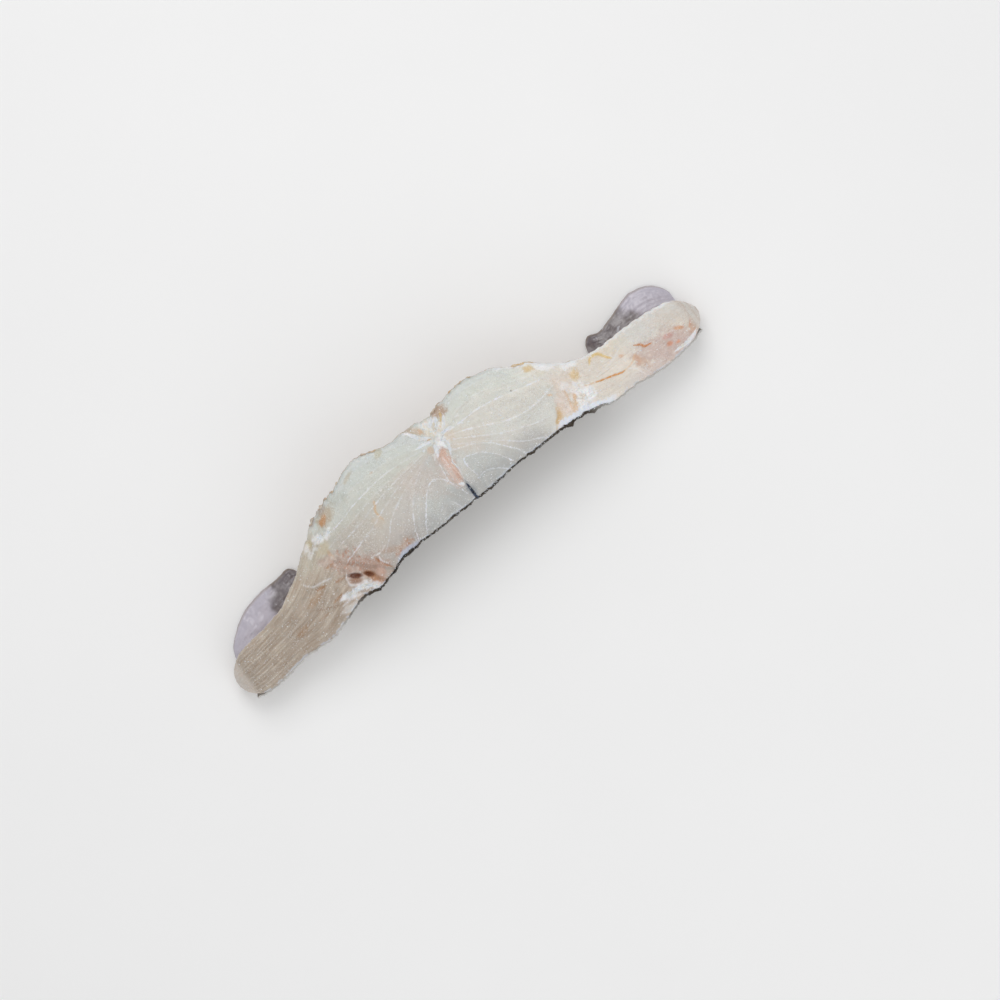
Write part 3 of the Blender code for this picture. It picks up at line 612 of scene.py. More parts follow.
def build_flesh():
    x = stations()
    skin_y, cavity_y, top = skin_line(x), cavity_line(x), run_of(FACE_HEIGHT, x)
    skin_y = skin_y + SLIT_DEPTH * np.sqrt(np.clip(1 - ((x - SLIT_X) / SLIT_HALF) ** 2, 0, 1))
    along, skin_y, cavity_y, top = x[:, None], skin_y[:, None], cavity_y[:, None], top[:, None]
    y = skin_y + np.linspace(0, 1, FACE_POINTS) * (cavity_y - skin_y)
    places = np.broadcast_to(along, y.shape)
    number, _, show = flake_numbers(places, y)
    steps = FLAKE_STEP * show * (number % 1 - 0.5)
    drop = 0
    for radius, off in ((SKIN_TOP_RADIUS, y - skin_y), (CAVITY_TOP_RADIUS, cavity_y - y)):
        drop = drop + radius * (1 - np.sqrt(1 - (1 - np.clip(off / radius, 0, 1)) ** 2))
    face = top + face_relief(places, y) + steps - drop

    turn = np.linspace(0, np.pi / 2, BEND_POINTS)
    cavity_foot = cavity_y - run_of(CAVITY_WALL_SLOPE, along)
    share = np.linspace(0, 1, CAVITY_WALL_POINTS)[1:]
    wall_z = face[:, -1:] + (FOOT_RADIUS - face[:, -1:]) * share
    deep = np.broadcast_to(along, wall_z.shape)
    folds = 0.9 * grain(11, 11, deep, wall_z) + 0.5 * np.sin(wall_z * 0.55 + deep * 0.02)
    hollow = (folds - CAVITY_WALL_HOLLOW) * np.sin(np.pi * share)
    wall_y = cavity_y + (cavity_foot - cavity_y) * share + hollow
    skin_foot = skin_y + run_of(SKIN_WALL_SLOPE, along)
    width_share = np.linspace(0, 1, FLOOR_POINTS)[1:-1]
    floor_y = (cavity_foot - FOOT_RADIUS) * (1 - width_share) + (skin_foot + FOOT_RADIUS) * width_share
    height = np.linspace(0, 1, SKIN_WALL_POINTS)[1:-1]
    outer_z = FOOT_RADIUS + (face[:, :1] - FOOT_RADIUS) * height
    rings = rings_at(
        x,
        (y, face),
        (wall_y, wall_z),
        (cavity_foot - FOOT_RADIUS * (1 - np.cos(turn[1:])), FOOT_RADIUS * (1 - np.sin(turn[1:]))),
        (floor_y, 0.0),
        (skin_foot + FOOT_RADIUS * (1 - np.sin(turn)), FOOT_RADIUS * (1 - np.cos(turn))),
        (skin_wall(along, skin_y, height), outer_z),
    )
    piece = piece_of("cut_flesh", swept(to_tip(rings)))

    px, py, pz = places_of(piece)
    number, width, show = flake_numbers(px, py)
    lay(piece, "tint", flesh_tint(px, py, pz, number))
    lay(piece, "flake", number)
    lay(piece, "flake_width", width)
    lay(piece, "gristle", show * ramp(5, 1, run_of(FACE_HEIGHT, px) + 1 - pz))
    lay(piece, "belly", ramp(86, 104, np.abs(px)))
    lay(piece, "across", across(px, py))
    return piece


def knit(tree, kind, **sockets):
    """Adds a shader node. A value is set on its socket, or linked when it is a node's output."""
    node = tree.nodes.new("ShaderNode" + kind)
    for name, value in sockets.items():
        if hasattr(node, name):
            setattr(node, name, value)
            continue
        label = name.replace("_", " ").lower()
        numbered = name.startswith("in") and name[2:].isdigit()
        open_sockets = (s for s in node.inputs if s.name.lower() == label and s.enabled)
        socket = node.inputs[int(name[2:])] if numbered else next(open_sockets)
        if isinstance(value, bpy.types.NodeSocket):
            tree.links.new(value, socket)
        else:
            socket.default_value = value
    return node


def maths(tree, operation, *terms, clamp=False):
    """One step of arithmetic on numbers or node outputs."""
    inputs = {f"in{k}": term for k, term in enumerate(terms)}
    return knit(tree, "Math", operation=operation, use_clamp=clamp, **inputs).outputs[0]


def reads(tree, name):
    """The numbers or colours stored on a piece under a name."""
    return knit(tree, "Attribute", attribute_name=name).outputs


def soft_step(tree, value, low, high):
    """The shader's ramp: 0 at low and 1 at high."""
    made = knit(tree, "MapRange", interpolation_type="SMOOTHSTEP", Value=value, From_Min=low, From_Max=high)
    return made.outputs["Result"]


def clouds(tree, per_metre, detail=3.0, roughness=0.55, vector=None):
    """Soft noise with so many lumps to a metre, or to the unit of the vector that it is given."""
    where = vector or knit(tree, "TexCoord").outputs["Object"]
    made = knit(tree, "TexNoise", Vector=where, Scale=per_metre, Detail=detail, Roughness=roughness)
    return made.outputs["Fac"]


def blend(tree, share, first, second, strength=1.0):
    """A mix of two colours, by share times strength."""
    if strength != 1.0:
        share = maths(tree, "MULTIPLY", share, strength)
    made = knit(tree, "Mix", data_type="RGBA")
    for name, value in (("Factor", share), ("A", first), ("B", second)):
        target = next(s for s in made.inputs if s.name == name and s.enabled)
        if isinstance(value, bpy.types.NodeSocket):
            tree.links.new(value, target)
        else:
            target.default_value = value if name == "Factor" else (*value, 1)
    return next(s for s in made.outputs if s.enabled)


def new_material(name):
    made = bpy.data.materials.new(name)
    made.use_nodes = True
    return made, made.node_tree, made.node_tree.nodes["Principled BSDF"]


LIGHT_REACH, LIGHT_SPREAD = 1.8, (1.0, 0.7, 0.5)  # how deep light goes into raw fish, by colour
WET_FILM_ROUGHNESS = 0.2


def finish(tree, shader, base, roughness, height, depth, strength=0.5, translucent=0.0, coat=0.0):
    """Links a material's colour, roughness and bump, and sets how far light enters it."""
    tree.links.new(base, shader.inputs["Base Color"])
    tree.links.new(roughness, shader.inputs["Roughness"])
    bump = knit(tree, "Bump", Strength=strength, Distance=depth * MM, Height=height)
    tree.links.new(bump.outputs[0], shader.inputs["Normal"])
    shader.inputs["Subsurface Weight"].default_value = translucent
    shader.inputs["Subsurface Radius"].default_value = LIGHT_SPREAD
    shader.inputs["Subsurface Scale"].default_value = LIGHT_REACH * MM
    shader.inputs["Coat Weight"].default_value = coat
    shader.inputs["Coat Roughness"].default_value = WET_FILM_ROUGHNESS


def flesh_material():
    made, tree, shader = new_material("raw_cod_flesh")
    flake, width = reads(tree, "flake")["Fac"], reads(tree, "flake_width")["Fac"]
    share = maths(tree, "FRACT", flake)
    near = maths(tree, "MINIMUM", share, maths(tree, "SUBTRACT", 1.0, share))
    # A gristle line is a quarter to one millimetre wide, wavering, and broken here and there
    waver = maths(tree, "MULTIPLY_ADD", clouds(tree, 620, 3), 1.5, -0.75)
    off = maths(tree, "ABSOLUTE", maths(tree, "MULTIPLY_ADD", near, width, waver))
    half = maths(tree, "MULTIPLY_ADD", soft_step(tree, clouds(tree, 330, 3, 0.7), 0.4, 0.66), 0.66, 0.1)
    line = maths(tree, "SUBTRACT", 1.0, soft_step(tree, maths(tree, "DIVIDE", off, half), 0.3, 1.5))
    broken = soft_step(tree, clouds(tree, 190, 4, 0.75), 0.4, 0.56)
    broken = maths(tree, "MULTIPLY_ADD", broken, 0.85, 0.25)
    plain = maths(tree, "MULTIPLY", reads(tree, "gristle")["Fac"], broken)
    line = maths(tree, "MULTIPLY", line, plain, clamp=True)
    # Crumbs of frost gather on the sheets
    beads = soft_step(tree, clouds(tree, 620, 1), 0.6, 0.7)
    beads = maths(tree, "MULTIPLY", beads, soft_step(tree, off, 1.3, 0.2))
    beads = maths(tree, "MULTIPLY", beads, plain)
    # Fainter streaks run beside the sheets, and along the fibres of the belly
    place = knit(tree, "SeparateXYZ", Vector=knit(tree, "TexCoord").outputs["Object"]).outputs
    fan_across, fan_along = maths(tree, "MULTIPLY", flake, 3.4), maths(tree, "MULTIPLY", place["X"], 26.0)
    streaks = clouds(tree, 1.0, 4, 0.6, knit(tree, "CombineXYZ", X=fan_across, Y=fan_along).outputs[0])
    arm_across = maths(tree, "MULTIPLY", reads(tree, "across")["Fac"], 0.5)
    arm_along = maths(tree, "MULTIPLY", place["X"], 24.0)
    fibres = clouds(tree, 1.0, 4, 0.6, knit(tree, "CombineXYZ", X=arm_along, Y=arm_across).outputs[0])
    bands = knit(tree, "Mix", Factor=reads(tree, "belly")["Fac"], A=streaks, B=fibres).outputs[0]
    specks, dots = clouds(tree, 1300, 2, 0.75), clouds(tree, 640, 1)
    frosted = maths(tree, "MULTIPLY_ADD", soft_step(tree, clouds(tree, 60, 3), 0.4, 0.62), 0.8, 0.3)
    light = maths(tree, "MULTIPLY", soft_step(tree, specks, 0.52, 0.68), frosted)
    dark = maths(tree, "MULTIPLY", soft_step(tree, specks, 0.47, 0.3), frosted)
    base = reads(tree, "tint")["Color"]
    base = blend(tree, soft_step(tree, bands, 0.52, 0.75), base, colour(230, 227, 220), 0.24)
    base = blend(tree, soft_step(tree, bands, 0.48, 0.28), base, colour(176, 162, 148), 0.17)
    base = blend(tree, light, base, colour(238, 238, 238), 0.4)
    base = blend(tree, dark, base, colour(156, 140, 126), 0.32)
    base = blend(tree, soft_step(tree, dots, 0.68, 0.74), base, colour(238, 240, 242), 0.55)
    base = blend(tree, line, base, colour(233, 235, 243), 0.85)
    base = blend(tree, beads, base, colour(244, 245, 247), 0.9)
    wet = maths(tree, "MULTIPLY_ADD", clouds(tree, 420, 3), 0.4, 0.18)
    height = maths(tree, "ADD", maths(tree, "MULTIPLY", line, 0.5), maths(tree, "MULTIPLY", bands, 0.8))
    height = maths(tree, "ADD", height, maths(tree, "MULTIPLY", specks, 0.5))
    height = maths(tree, "ADD", height, maths(tree, "MULTIPLY", beads, 0.5))
    finish(tree, shader, base, wet, height, 0.5, 0.4, translucent=0.25, coat=0.2)
    return made


flesh = build_flesh()
flesh.data.materials.append(flesh_material())
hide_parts("flesh")
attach(flesh, "root")

# --- White gristle --------------------------------------------------------------------------------
# Tough white tissue that the saw tore and left standing on the cut face: the star where all the
# sheets meet, the cords beside the backbone, the knots in both collar ends and a lump of fat.
# Each strand has its line, half its width and how far its middle stands above the flesh.
STRANDS = [
    ([(-2.6, 13), (-5.2, 14.6), (-7.6, 16.4), (-9.8, 20), (-12.8, 24.4)], 1.35, 0.0),
    ([(-0.6, 9.9), (-3.6, 11.4), (-6.8, 12.1), (-11, 12.7), (-14, 12.8)], 0.95, 0.0),
    ([(1.2, 10.6), (3.9, 7), (4.2, 3), (3.6, 0), (2.6, -2.4)], 1.0, 0.1),
    ([(3.4, 10.6), (7, 11.1), (10.4, 11.1), (13.6, 10.8)], 1.0, 0.0),
    ([(-1.4, 8.4), (-3, 6.4), (-3.8, 4), (-4.5, 1.8)], 1.2, 0.0),
    ([(-6.2, 2.8), (-7.2, 3), (-8.2, 2.6)], 0.7, 0.0),
    ([(-9, 9.4), (-10.2, 9.1), (-11.4, 8.6)], 0.6, 0.0),
    ([(8.4, 21.8), (6.4, 18), (4, 15.6), (2.8, 14.8)], 1.0, 0.1),
    ([(5.6, 22.8), (5, 21.6), (3.2, 20), (1.4, 19)], 1.1, 0.1),
    ([(5.9, 23.8), (5.6, 22.6), (4.8, 21.2)], 0.4, 0.4),
    ([(13, 19.6), (11, 16.4), (8.6, 13)], 0.85, 0.0),
    ([(0.2, 17.6), (1.2, 15.2), (3.4, 13)], 0.9, 0.0),
    ([(1.4, -4.6), (0.1, -7.8), (0.5, -11), (0.4, -14)], 0.45, 0.0),
    ([(-4.4, -21.4), (-3.2, -22.2), (-2.2, -22.6)], 0.8, 0.1),
    ([(18.2, 10.6), (19.4, 9.4), (20.8, 7.8)], 0.5, 0.0),
    ([(-108, -35.8), (-98, -36), (-91.8, -37.4), (-86.6, -41.4)], 1.3, 0.0),
    ([(-93.4, -36.4), (-89, -38.4), (-85.2, -43)], 0.9, 0.1),
    ([(-101, 4.4), (-98, 5), (-95, 3.6)], 1.4, -0.2),
    ([(-93.6, 3), (-91, 3.8), (-88.4, 5)], 0.9, -0.1),
    ([(159, -36.2), (166, -36.4), (173, -34.8)], 0.8, -0.1),
]
FIBRE_HALF, FIBRE_STEP, FIBRE_SIDES, LINE_POINTS = 0.38, 0.35, 10, 200


def strand(line, half, stands, chance):
    """A torn cord of gristle on the cut face: fibres side by side, each of its own length."""
    count = max(1, round(half / FIBRE_HALF))
    offsets = np.linspace(-1, 1, count) * (half - FIBRE_HALF) if count > 1 else [0.0]
    return [fibre_of(line, off, min(half, FIBRE_HALF * 1.25), stands, chance) for off in offsets]


def fibre_of(line, off, half, stands, chance):
    """One fibre of a cord, beside its middle line and between two chance ends."""
    begin, end = chance.uniform(0, 0.14), chance.uniform(0.84, 1)
    whole = through(line, LINE_POINTS)[int(LINE_POINTS * begin) : int(LINE_POINTS * end)]
    length = np.hypot(*np.diff(whole, axis=0).T).sum()
    mid = whole[np.linspace(0, len(whole) - 1, max(8, int(length / FIBRE_STEP))).astype(int)]
    ahead = np.gradient(mid, axis=0)
    aside = np.stack([-ahead[:, 1], ahead[:, 0]], -1) / np.maximum(1e-6, np.hypot(*ahead.T))[:, None]
    seed = chance.integers(60, 90)
    sway = off + 0.35 * grain(2.4, seed, *mid.T) * min(1, 2 * half)
    mid = mid + aside * sway[:, None]
    t = np.linspace(0, 1, len(mid))
    lumps = 1 + 0.75 * grain(1.3, seed + 1, *mid.T)
    reach = half * (np.clip(np.sin(np.pi * t), 0.02, 1) ** 0.35) * lumps
    turn = np.linspace(0, 2 * np.pi, FIBRE_SIDES, endpoint=False)
    flat = mid[:, None] + aside[:, None] * (reach[:, None] * np.cos(turn))[..., None]
    x, y = flat[..., 0], flat[..., 1]
    lift = stands + 0.25 * grain(1.8, seed + 2, *mid.T)[:, None]
    z = face_height(x, y) + lift + reach[:, None] * (0.8 * np.sin(turn) - 0.2)
    return swept(np.stack([x, y, z], -1))


def pebbles(places, sizes, detail, chance, roughness):
    """Rough little lumps, one at each place, all different."""
    shape = bmesh.new()
    bmesh.ops.create_icosphere(shape, subdivisions=detail, radius=1)
    ball = np.array([v.co for v in shape.verts])
    loops = [[v.index for v in face.verts] for face in shape.faces]
    shape.free()
    shells = []
    for place, size in zip(places, sizes):
        stretch = chance.uniform(0.65, 1.35, 3) * (1, 1, 0.75)
        bumps = 1 + roughness * chance.uniform(-1, 1, len(ball))[:, None]
        turn = chance.uniform(0, np.pi)
        c, s = math.cos(turn), math.sin(turn)
        spin = np.array([[c, -s, 0], [s, c, 0], [0, 0, 1]])
        shells.append(((ball * bumps * stretch) @ spin.T * size + place, loops))
    return shells


def on_face(x, y, sunk):
    """Places on the cut face, sunk a little into it."""
    return np.stack([x, y, face_height(x, y) - sunk], -1)


# Crumbs of gristle round each knot: middle, spread, count and largest size
CRUMBS = [
    ((1.5, 8.5), 3.4, 12, 0.5), ((4, 18.4), 3.4, 18, 0.6), ((93, -25.5), 3.6, 14, 0.6),
    ((-90, -39), 3.0, 10, 0.5), ((-95.5, 4), 3.4, 8, 0.5), ((-3.2, -22), 0.9, 5, 0.4),
    ((84, -30.5), 3.4, 8, 0.4), ((-11, 22.5), 1.8, 5, 0.4), ((80, 9), 2.4, 6, 0.4),
    ((-79, -29), 5.5, 14, 0.4),
]  # fmt: skip


def build_gristle():
    chance = np.random.default_rng(11)
    shells = [shell for row in STRANDS for shell in strand(*row, chance)]
    for centre, spread, count, largest in CRUMBS:
        x, y = np.array(centre)[:, None] + chance.normal(0, spread, (2, count)) * 0.7
        y = np.clip(y, skin_line(x) + 1.5, cavity_line(x) - 2.0)
        sizes = largest * chance.uniform(0.35, 1, count) ** 1.5
        shells += pebbles(on_face(x, y, 0.15), sizes, 2, chance, 0.16)
    return piece_of("white_gristle", *shells)


def gristle_material():
    made, tree, shader = new_material("white_gristle")
    cream = soft_step(tree, clouds(tree, 210, 3), 0.45, 0.65)
    base = blend(tree, cream, colour(240, 241, 243), colour(236, 229, 216))
    base = blend(tree, soft_step(tree, clouds(tree, 700, 2), 0.5, 0.7), base, colour(247, 248, 250), 0.6)
    wet = maths(tree, "MULTIPLY_ADD", clouds(tree, 500, 2), 0.3, 0.25)
    finish(tree, shader, base, wet, clouds(tree, 900, 3, 0.7), 0.4, 0.4, translucent=0.4, coat=0.2)
    return made


gristle = build_gristle()
gristle.data.materials.append(gristle_material())
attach(gristle, "root")

# --- Torn membrane --------------------------------------------------------------------------------
# The lining of the belly cavity, a thin grey-brown film. It still clings to the upper part of the
# inner wall, torn off ragged below. Each stretch has its two ends, how far its top edge stands out,
# how far it hangs, and how tan it is.
SCRAPS = [
    (-112, -99, -0.5, 15, 0.3), (-98.6, -92.6, 0.5, 17, 0.1), (-91, -80, -0.1, 19, 0.2),
    (-79, -61, -0.4, 15, 0.3), (-62, -43, -0.5, 18, 0.4), (-43.5, -38, 0.1, 14, 0.1),
    (-39, -17, -0.5, 16, 0.5), (-16, -4, -0.4, 19, 0.4), (2.5, 16, 0.1, 21, 0.3), (15, 31, -0.5, 16, 0.4),
    (29, 41, -0.3, 17, 0.3), (39, 62, -0.6, 16, 0.5), (66.5, 79.5, 0.4, 14, 1.0), (78, 100, -0.6, 15, 0.8),
    (99, 116, -0.6, 13, 0.2),
]  # fmt: skip
SCRAP_THICKNESS, SCRAP_STEP, SCRAP_POINTS = 0.5, 0.45, 26
INSIDE_EDGE = 2.6  # how far in from the edge the face is level, past its rounding
SHRED_POINTS, SHRED_SIDES = 22, 12
# Rolled-up shreds of the lining on the edge: x, how far inside it, half the length, thickness, tan
SHREDS = [
    (-95.4, -0.4, 2.6, 1.2, 0.1), (-85.4, -0.2, 2.2, 1.0, 0.1), (-79.6, -0.2, 1.5, 0.6, 0.2),
    (-73.3, 0, 1.6, 0.6, 0.3), (-67.6, 0, 1.2, 0.5, 0.6), (-43, 0.1, 1.7, 0.9, 0.2), (-37, 0.4, 3, 0.6, 0.5),
    (4.2, 0.2, 1.6, 0.8, 0.1), (9.6, 0, 2.4, 0.7, 0.2), (25, 0.1, 1.4, 0.5, 0.7), (30.6, 0, 1.1, 0.5, 0.6),
    (34, 0, 1.6, 0.5, 0.5), (40.6, 0.1, 1.4, 0.4, 0.5), (69, -0.3, 2.0, 1.1, 1.0), (72.6, 0, 2.2, 0.9, 0.9),
]  # fmt: skip


def scrap(first, last, out, hang):
    """One stretch of lining: its top edge, then down the wall to its torn foot, and back inside."""
    x = np.linspace(first, last, int((last - first) / SCRAP_STEP))
    t = (x - first) / (last - first)
    level = run_of(FACE_HEIGHT, x)[:, None]
    taper = np.clip(np.sin(np.pi * t), 0.03, 1)[:, None] ** 0.3
    ragged = 1 + 0.4 * grain(3, 70, x)[:, None] + 0.3 * grain(8, 72, x)[:, None]
    drop = 0.5 + hang * taper * ragged * np.linspace(0, 1, SCRAP_POINTS)
    wall = cavity_line(x)[:, None] - run_of(CAVITY_WALL_SLOPE, x)[:, None] * drop / level
    wall = wall - CAVITY_WALL_HOLLOW * np.sin(np.pi * np.clip(drop / level, 0, 1))
    places = np.broadcast_to(x[:, None], drop.shape)
    curl = (out + 0.35 * grain(2.4, 73, x)[:, None]) * taper * np.exp(-drop / 2.5)
    crumple = 0.25 * grain(3, 71, places, drop) + 0.25
    top = face_height(x, cavity_line(x) - INSIDE_EDGE)[:, None] - 1.6 + 0.5 * grain(2, 74, x)[:, None]
    outside = np.stack([places, wall + curl + crumple, top - drop], -1)
    inside = outside - (0, SCRAP_THICKNESS, 0)
    inside[:, :2] -= (0, 0.9, 0)
    return swept(np.concatenate([outside, inside[:, ::-1]], 1))


def shred(x, inside, half, thick):
    """One rolled-up shred: a short lumpy roll along the cut edge."""
    along = np.linspace(-1, 1, SHRED_POINTS)
    places = x + half * along
    reach = thick * np.sqrt(np.clip(1 - along**2, 0.01, 1)) * (1 + 0.6 * grain(1.1, 76, places))
    middle = cavity_line(places) - inside - 0.3 * thick + 0.3 * grain(1.6, 77, places)
    turn = np.linspace(0, 2 * np.pi, SHRED_SIDES, endpoint=False)
    level = face_height(places, cavity_line(places) - INSIDE_EDGE)[:, None] - 0.9 * thick - 0.4
    y = middle[:, None] + reach[:, None] * np.cos(turn)
    z = level + reach[:, None] * np.sin(turn)
    return swept(np.stack([np.broadcast_to(places[:, None], y.shape), y, z], -1))


def membrane_material():
    made, tree, shader = new_material("grey_membrane")
    base = blend(tree, reads(tree, "shade")["Fac"], colour(178, 164, 152), colour(216, 184, 134))
    base = blend(tree, soft_step(tree, clouds(tree, 160, 3), 0.42, 0.62), base, colour(214, 204, 190), 0.7)
    base = blend(tree, soft_step(tree, clouds(tree, 420, 3), 0.54, 0.72), base, colour(128, 108, 96), 0.6)
    wet = maths(tree, "MULTIPLY_ADD", clouds(tree, 400, 2), 0.3, 0.18)
    finish(tree, shader, base, wet, clouds(tree, 500, 3), 0.4, translucent=0.3, coat=0.3)
    return made


scraps = [scrap(*row[:-1]) for row in SCRAPS] + [shred(*row[:-1]) for row in SHREDS]
membrane = piece_of("torn_membrane", *scraps)
tan_shares = [np.full(len(shell[0]), row[-1]) for shell, row in zip(scraps, SCRAPS + SHREDS)]
lay(membrane, "shade", np.concatenate(tan_shares))
membrane.data.materials.append(membrane_material())
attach(membrane, "root")

# --- Skin ---------------------------------------------------------------------------------------
# The cod's own skin, still on the outer wall: dark olive and mottled over the back, whitening
# along the belly arms. The saw left its top edge ragged, and it folds into the slit of the back.
SKIN_THICKNESS, SKIN_THINNEST, SKIN_FOOT = 1.0, 0.25, 3.2
SKIN_ROWS, SKIN_STEP, SKIN_SHORT_OF_TIPS = 28, 0.75, 6
SKIN_BEDDED, SKIN_TUCK = 0.45, 2.2  # how far it is sunk in the flesh, and turned in at its foot
RIM_BELOW_FACE, RIM_LOWER_RIGHT, RIM_LOWER_LEFT = 0.9, 3.5, 2.5  # the last two are on the arms
FOLD_OUTER, FOLD_HALF, FOLD_SPREAD, FOLD_FOOT, FOLD_HEIGHT = -36.0, 0.85, 13, 3.0, 55.6
FOLD_POINTS, FOLD_ROWS = 24, 34
# Places where the skin curls out in a thicker roll: x, length and extra thickness
SKIN_ROLLS = [
    (74, 4.5, 2.0), (91.5, 6.0, 2.0), (61, 3, 0.8), (45, 3, 0.7), (11, 4.5, 0.9), (-19, 5, 0.5),
    (-56, 6, 1.2), (-92, 9, 1.4), (-70, 3, 0.9),
]  # fmt: skip


def build_skin():
    x = np.arange(LEFT_TIP + SKIN_SHORT_OF_TIPS, RIGHT_TIP - SKIN_SHORT_OF_TIPS, SKIN_STEP)
    skin_y = skin_line(x)[:, None]
    rim = face_height(x, skin_line(x) + 1.2) - RIM_BELOW_FACE + 0.5 * grain(3, 30, x)
    rim = (rim - RIM_LOWER_RIGHT * ramp(100, 110, x) - RIM_LOWER_LEFT * ramp(-102, -112, x))[:, None]
    height = np.linspace(0, 1, SKIN_ROWS)
    wall_y = skin_wall(x[:, None], skin_y, height)
    wall_z = SKIN_FOOT + (rim - SKIN_FOOT) * height
    places = np.broadcast_to(x[:, None], wall_y.shape)
    extra = 0.6 * grain(4, 31, x) + 0.5 * grain(1.5, 35, x) - 0.1
    for at, reach, more in SKIN_ROLLS:
        extra = extra + more * np.exp(-(((x - at) / reach) ** 2)) * (1 + 0.6 * grain(2, 32, x))
    thick = np.maximum(SKIN_THICKNESS + extra[:, None] * (0.2 + 0.8 * height**6), SKIN_THINNEST)
    thick = thick * (1 - 0.4 * ramp(0.96, 1.0, height))
    wrinkles = 0.3 * grain(6, 33, places * 0.5, wall_z)
    # The lower end turns in under the wall
    tuck = SKIN_TUCK * (1 - ramp(0, 0.09, height)) ** 2
    outer = (wall_y - thick + wrinkles + tuck - 0.1, wall_z)
    inner = (wall_y[:, ::-1] + SKIN_BEDDED + tuck[::-1], wall_z[:, ::-1] - 0.15)
    return piece_of("back_skin", swept(to_tip(rings_at(x, outer, inner))))


def build_fold():
    """The doubled skin in the slit: a thin upright plate, thicker at its outer end."""
    deep = np.linspace(0, 1, FOLD_POINTS)
    rings = []
    for share in np.linspace(0, 1, FOLD_ROWS):
        y = FOLD_OUTER + (SLIT_DEPTH + 1.0) * deep + FOLD_SPREAD * (1 - share)
        bulge = 0.2 * np.cos(2 * np.pi * deep) + 0.18 * grain(1.5, 37, y)
        half = (FOLD_HALF + bulge) * np.sqrt(np.clip((1 - deep) * 9, 0, 1)) + 0.1
        middle = SLIT_X - 0.6 * deep + 0.1 * np.sin(share * 7)
        z = FOLD_FOOT + (FOLD_HEIGHT + 0.5 * grain(2, 36, y)) * share
        near, far = (np.stack([middle + side * half, y, z], -1) for side in (1, -1))
        rings.append(np.concatenate([near, far[::-1]]))
    return piece_of("slit_fold", swept(np.array(rings)))


def skin_material(name, dark, darker):
    made, tree, shader = new_material(name)
    spots = soft_step(tree, clouds(tree, 210, 5, 0.7), 0.42, 0.62)
    # The sawn rim is nearly black; below it the olive ground shows between the spots
    ground = blend(tree, reads(tree, "rim")["Fac"], colour(104, 96, 74), colour(*dark))
    back = blend(tree, spots, ground, colour(*darker))
    back = blend(tree, soft_step(tree, clouds(tree, 45, 3), 0.4, 0.65), back, ground, 0.6)
    back = blend(tree, soft_step(tree, clouds(tree, 700, 3), 0.5, 0.7), back, colour(112, 104, 88), 0.4)
    belly = blend(tree, spots, colour(216, 214, 210), colour(203, 201, 198))
    base = blend(tree, reads(tree, "back")["Fac"], belly, back)
    where = knit(tree, "TexCoord").outputs["Object"]
    scales = knit(tree, "TexVoronoi", Vector=where, Scale=620.0, Randomness=0.7).outputs["Distance"]
    height = maths(tree, "MULTIPLY_ADD", scales, 0.7, clouds(tree, 240, 4))
    wet = maths(tree, "MULTIPLY_ADD", clouds(tree, 300, 2), 0.3, 0.22)
    finish(tree, shader, base, wet, height, 0.5)
    shader.inputs["Specular IOR Level"].default_value = 0.25
    return made


skin, fold = build_skin(), build_fold()
sx, _, sz = places_of(skin)
rim_share = ramp(-12, -3, sz - run_of(FACE_HEIGHT, sx))
ends = (16 * grain(11, 34, sx, sz) + 5 * grain(3, 38, sx, sz)) * (1 - 0.8 * rim_share)
lay(skin, "back", ramp(120, 84, sx + ends) * ramp(-124, -92, sx + ends))
lay(skin, "rim", rim_share)
lay(fold, "back", np.ones(len(fold.data.vertices)))
lay(fold, "rim", np.ones(len(fold.data.vertices)))
skin.data.materials.append(skin_material("cod_skin", (62, 52, 42), (26, 20, 18)))
fold.data.materials.append(skin_material("folded_skin", (66, 78, 100), (26, 30, 42)))
for piece in (skin, fold):
    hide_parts("skin")
    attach(piece, "root")

# --- Backbone -----------------------------------------------------------------------------------
# The row of vertebrae, sawn through with the flesh. Its cut end is level with the face and has
# crumbled into cream chips. Below, the column bulges out of the cavity wall.
BACKBONE_CENTRE = (2.5, 16.8)
VERTEBRA_RIM, VERTEBRA_WAIST, VERTEBRA_COUNT = 8.4, 7.8, 3
COLUMN_FOOT, COLUMN_TOP, COLUMN_ROWS, COLUMN_SIDES = 1.2, 59.0, 74, 80
TOP_RINGS = (0.95, 0.88, 0.8, 0.71, 0.62, 0.52, 0.42, 0.32, 0.22, 0.1)  # shares of the rim
HIGHEST_CHIP = 61.8


def waist_at(z):
    """How far into the waist of a vertebra a height is: 0 at its rims and 1 half way."""
    share = np.clip((z - COLUMN_FOOT) / (COLUMN_TOP - COLUMN_FOOT), 0, 1)
    return np.clip(0.5 - 0.5 * np.cos(2 * np.pi * VERTEBRA_COUNT * share), 0, 1) ** 0.7


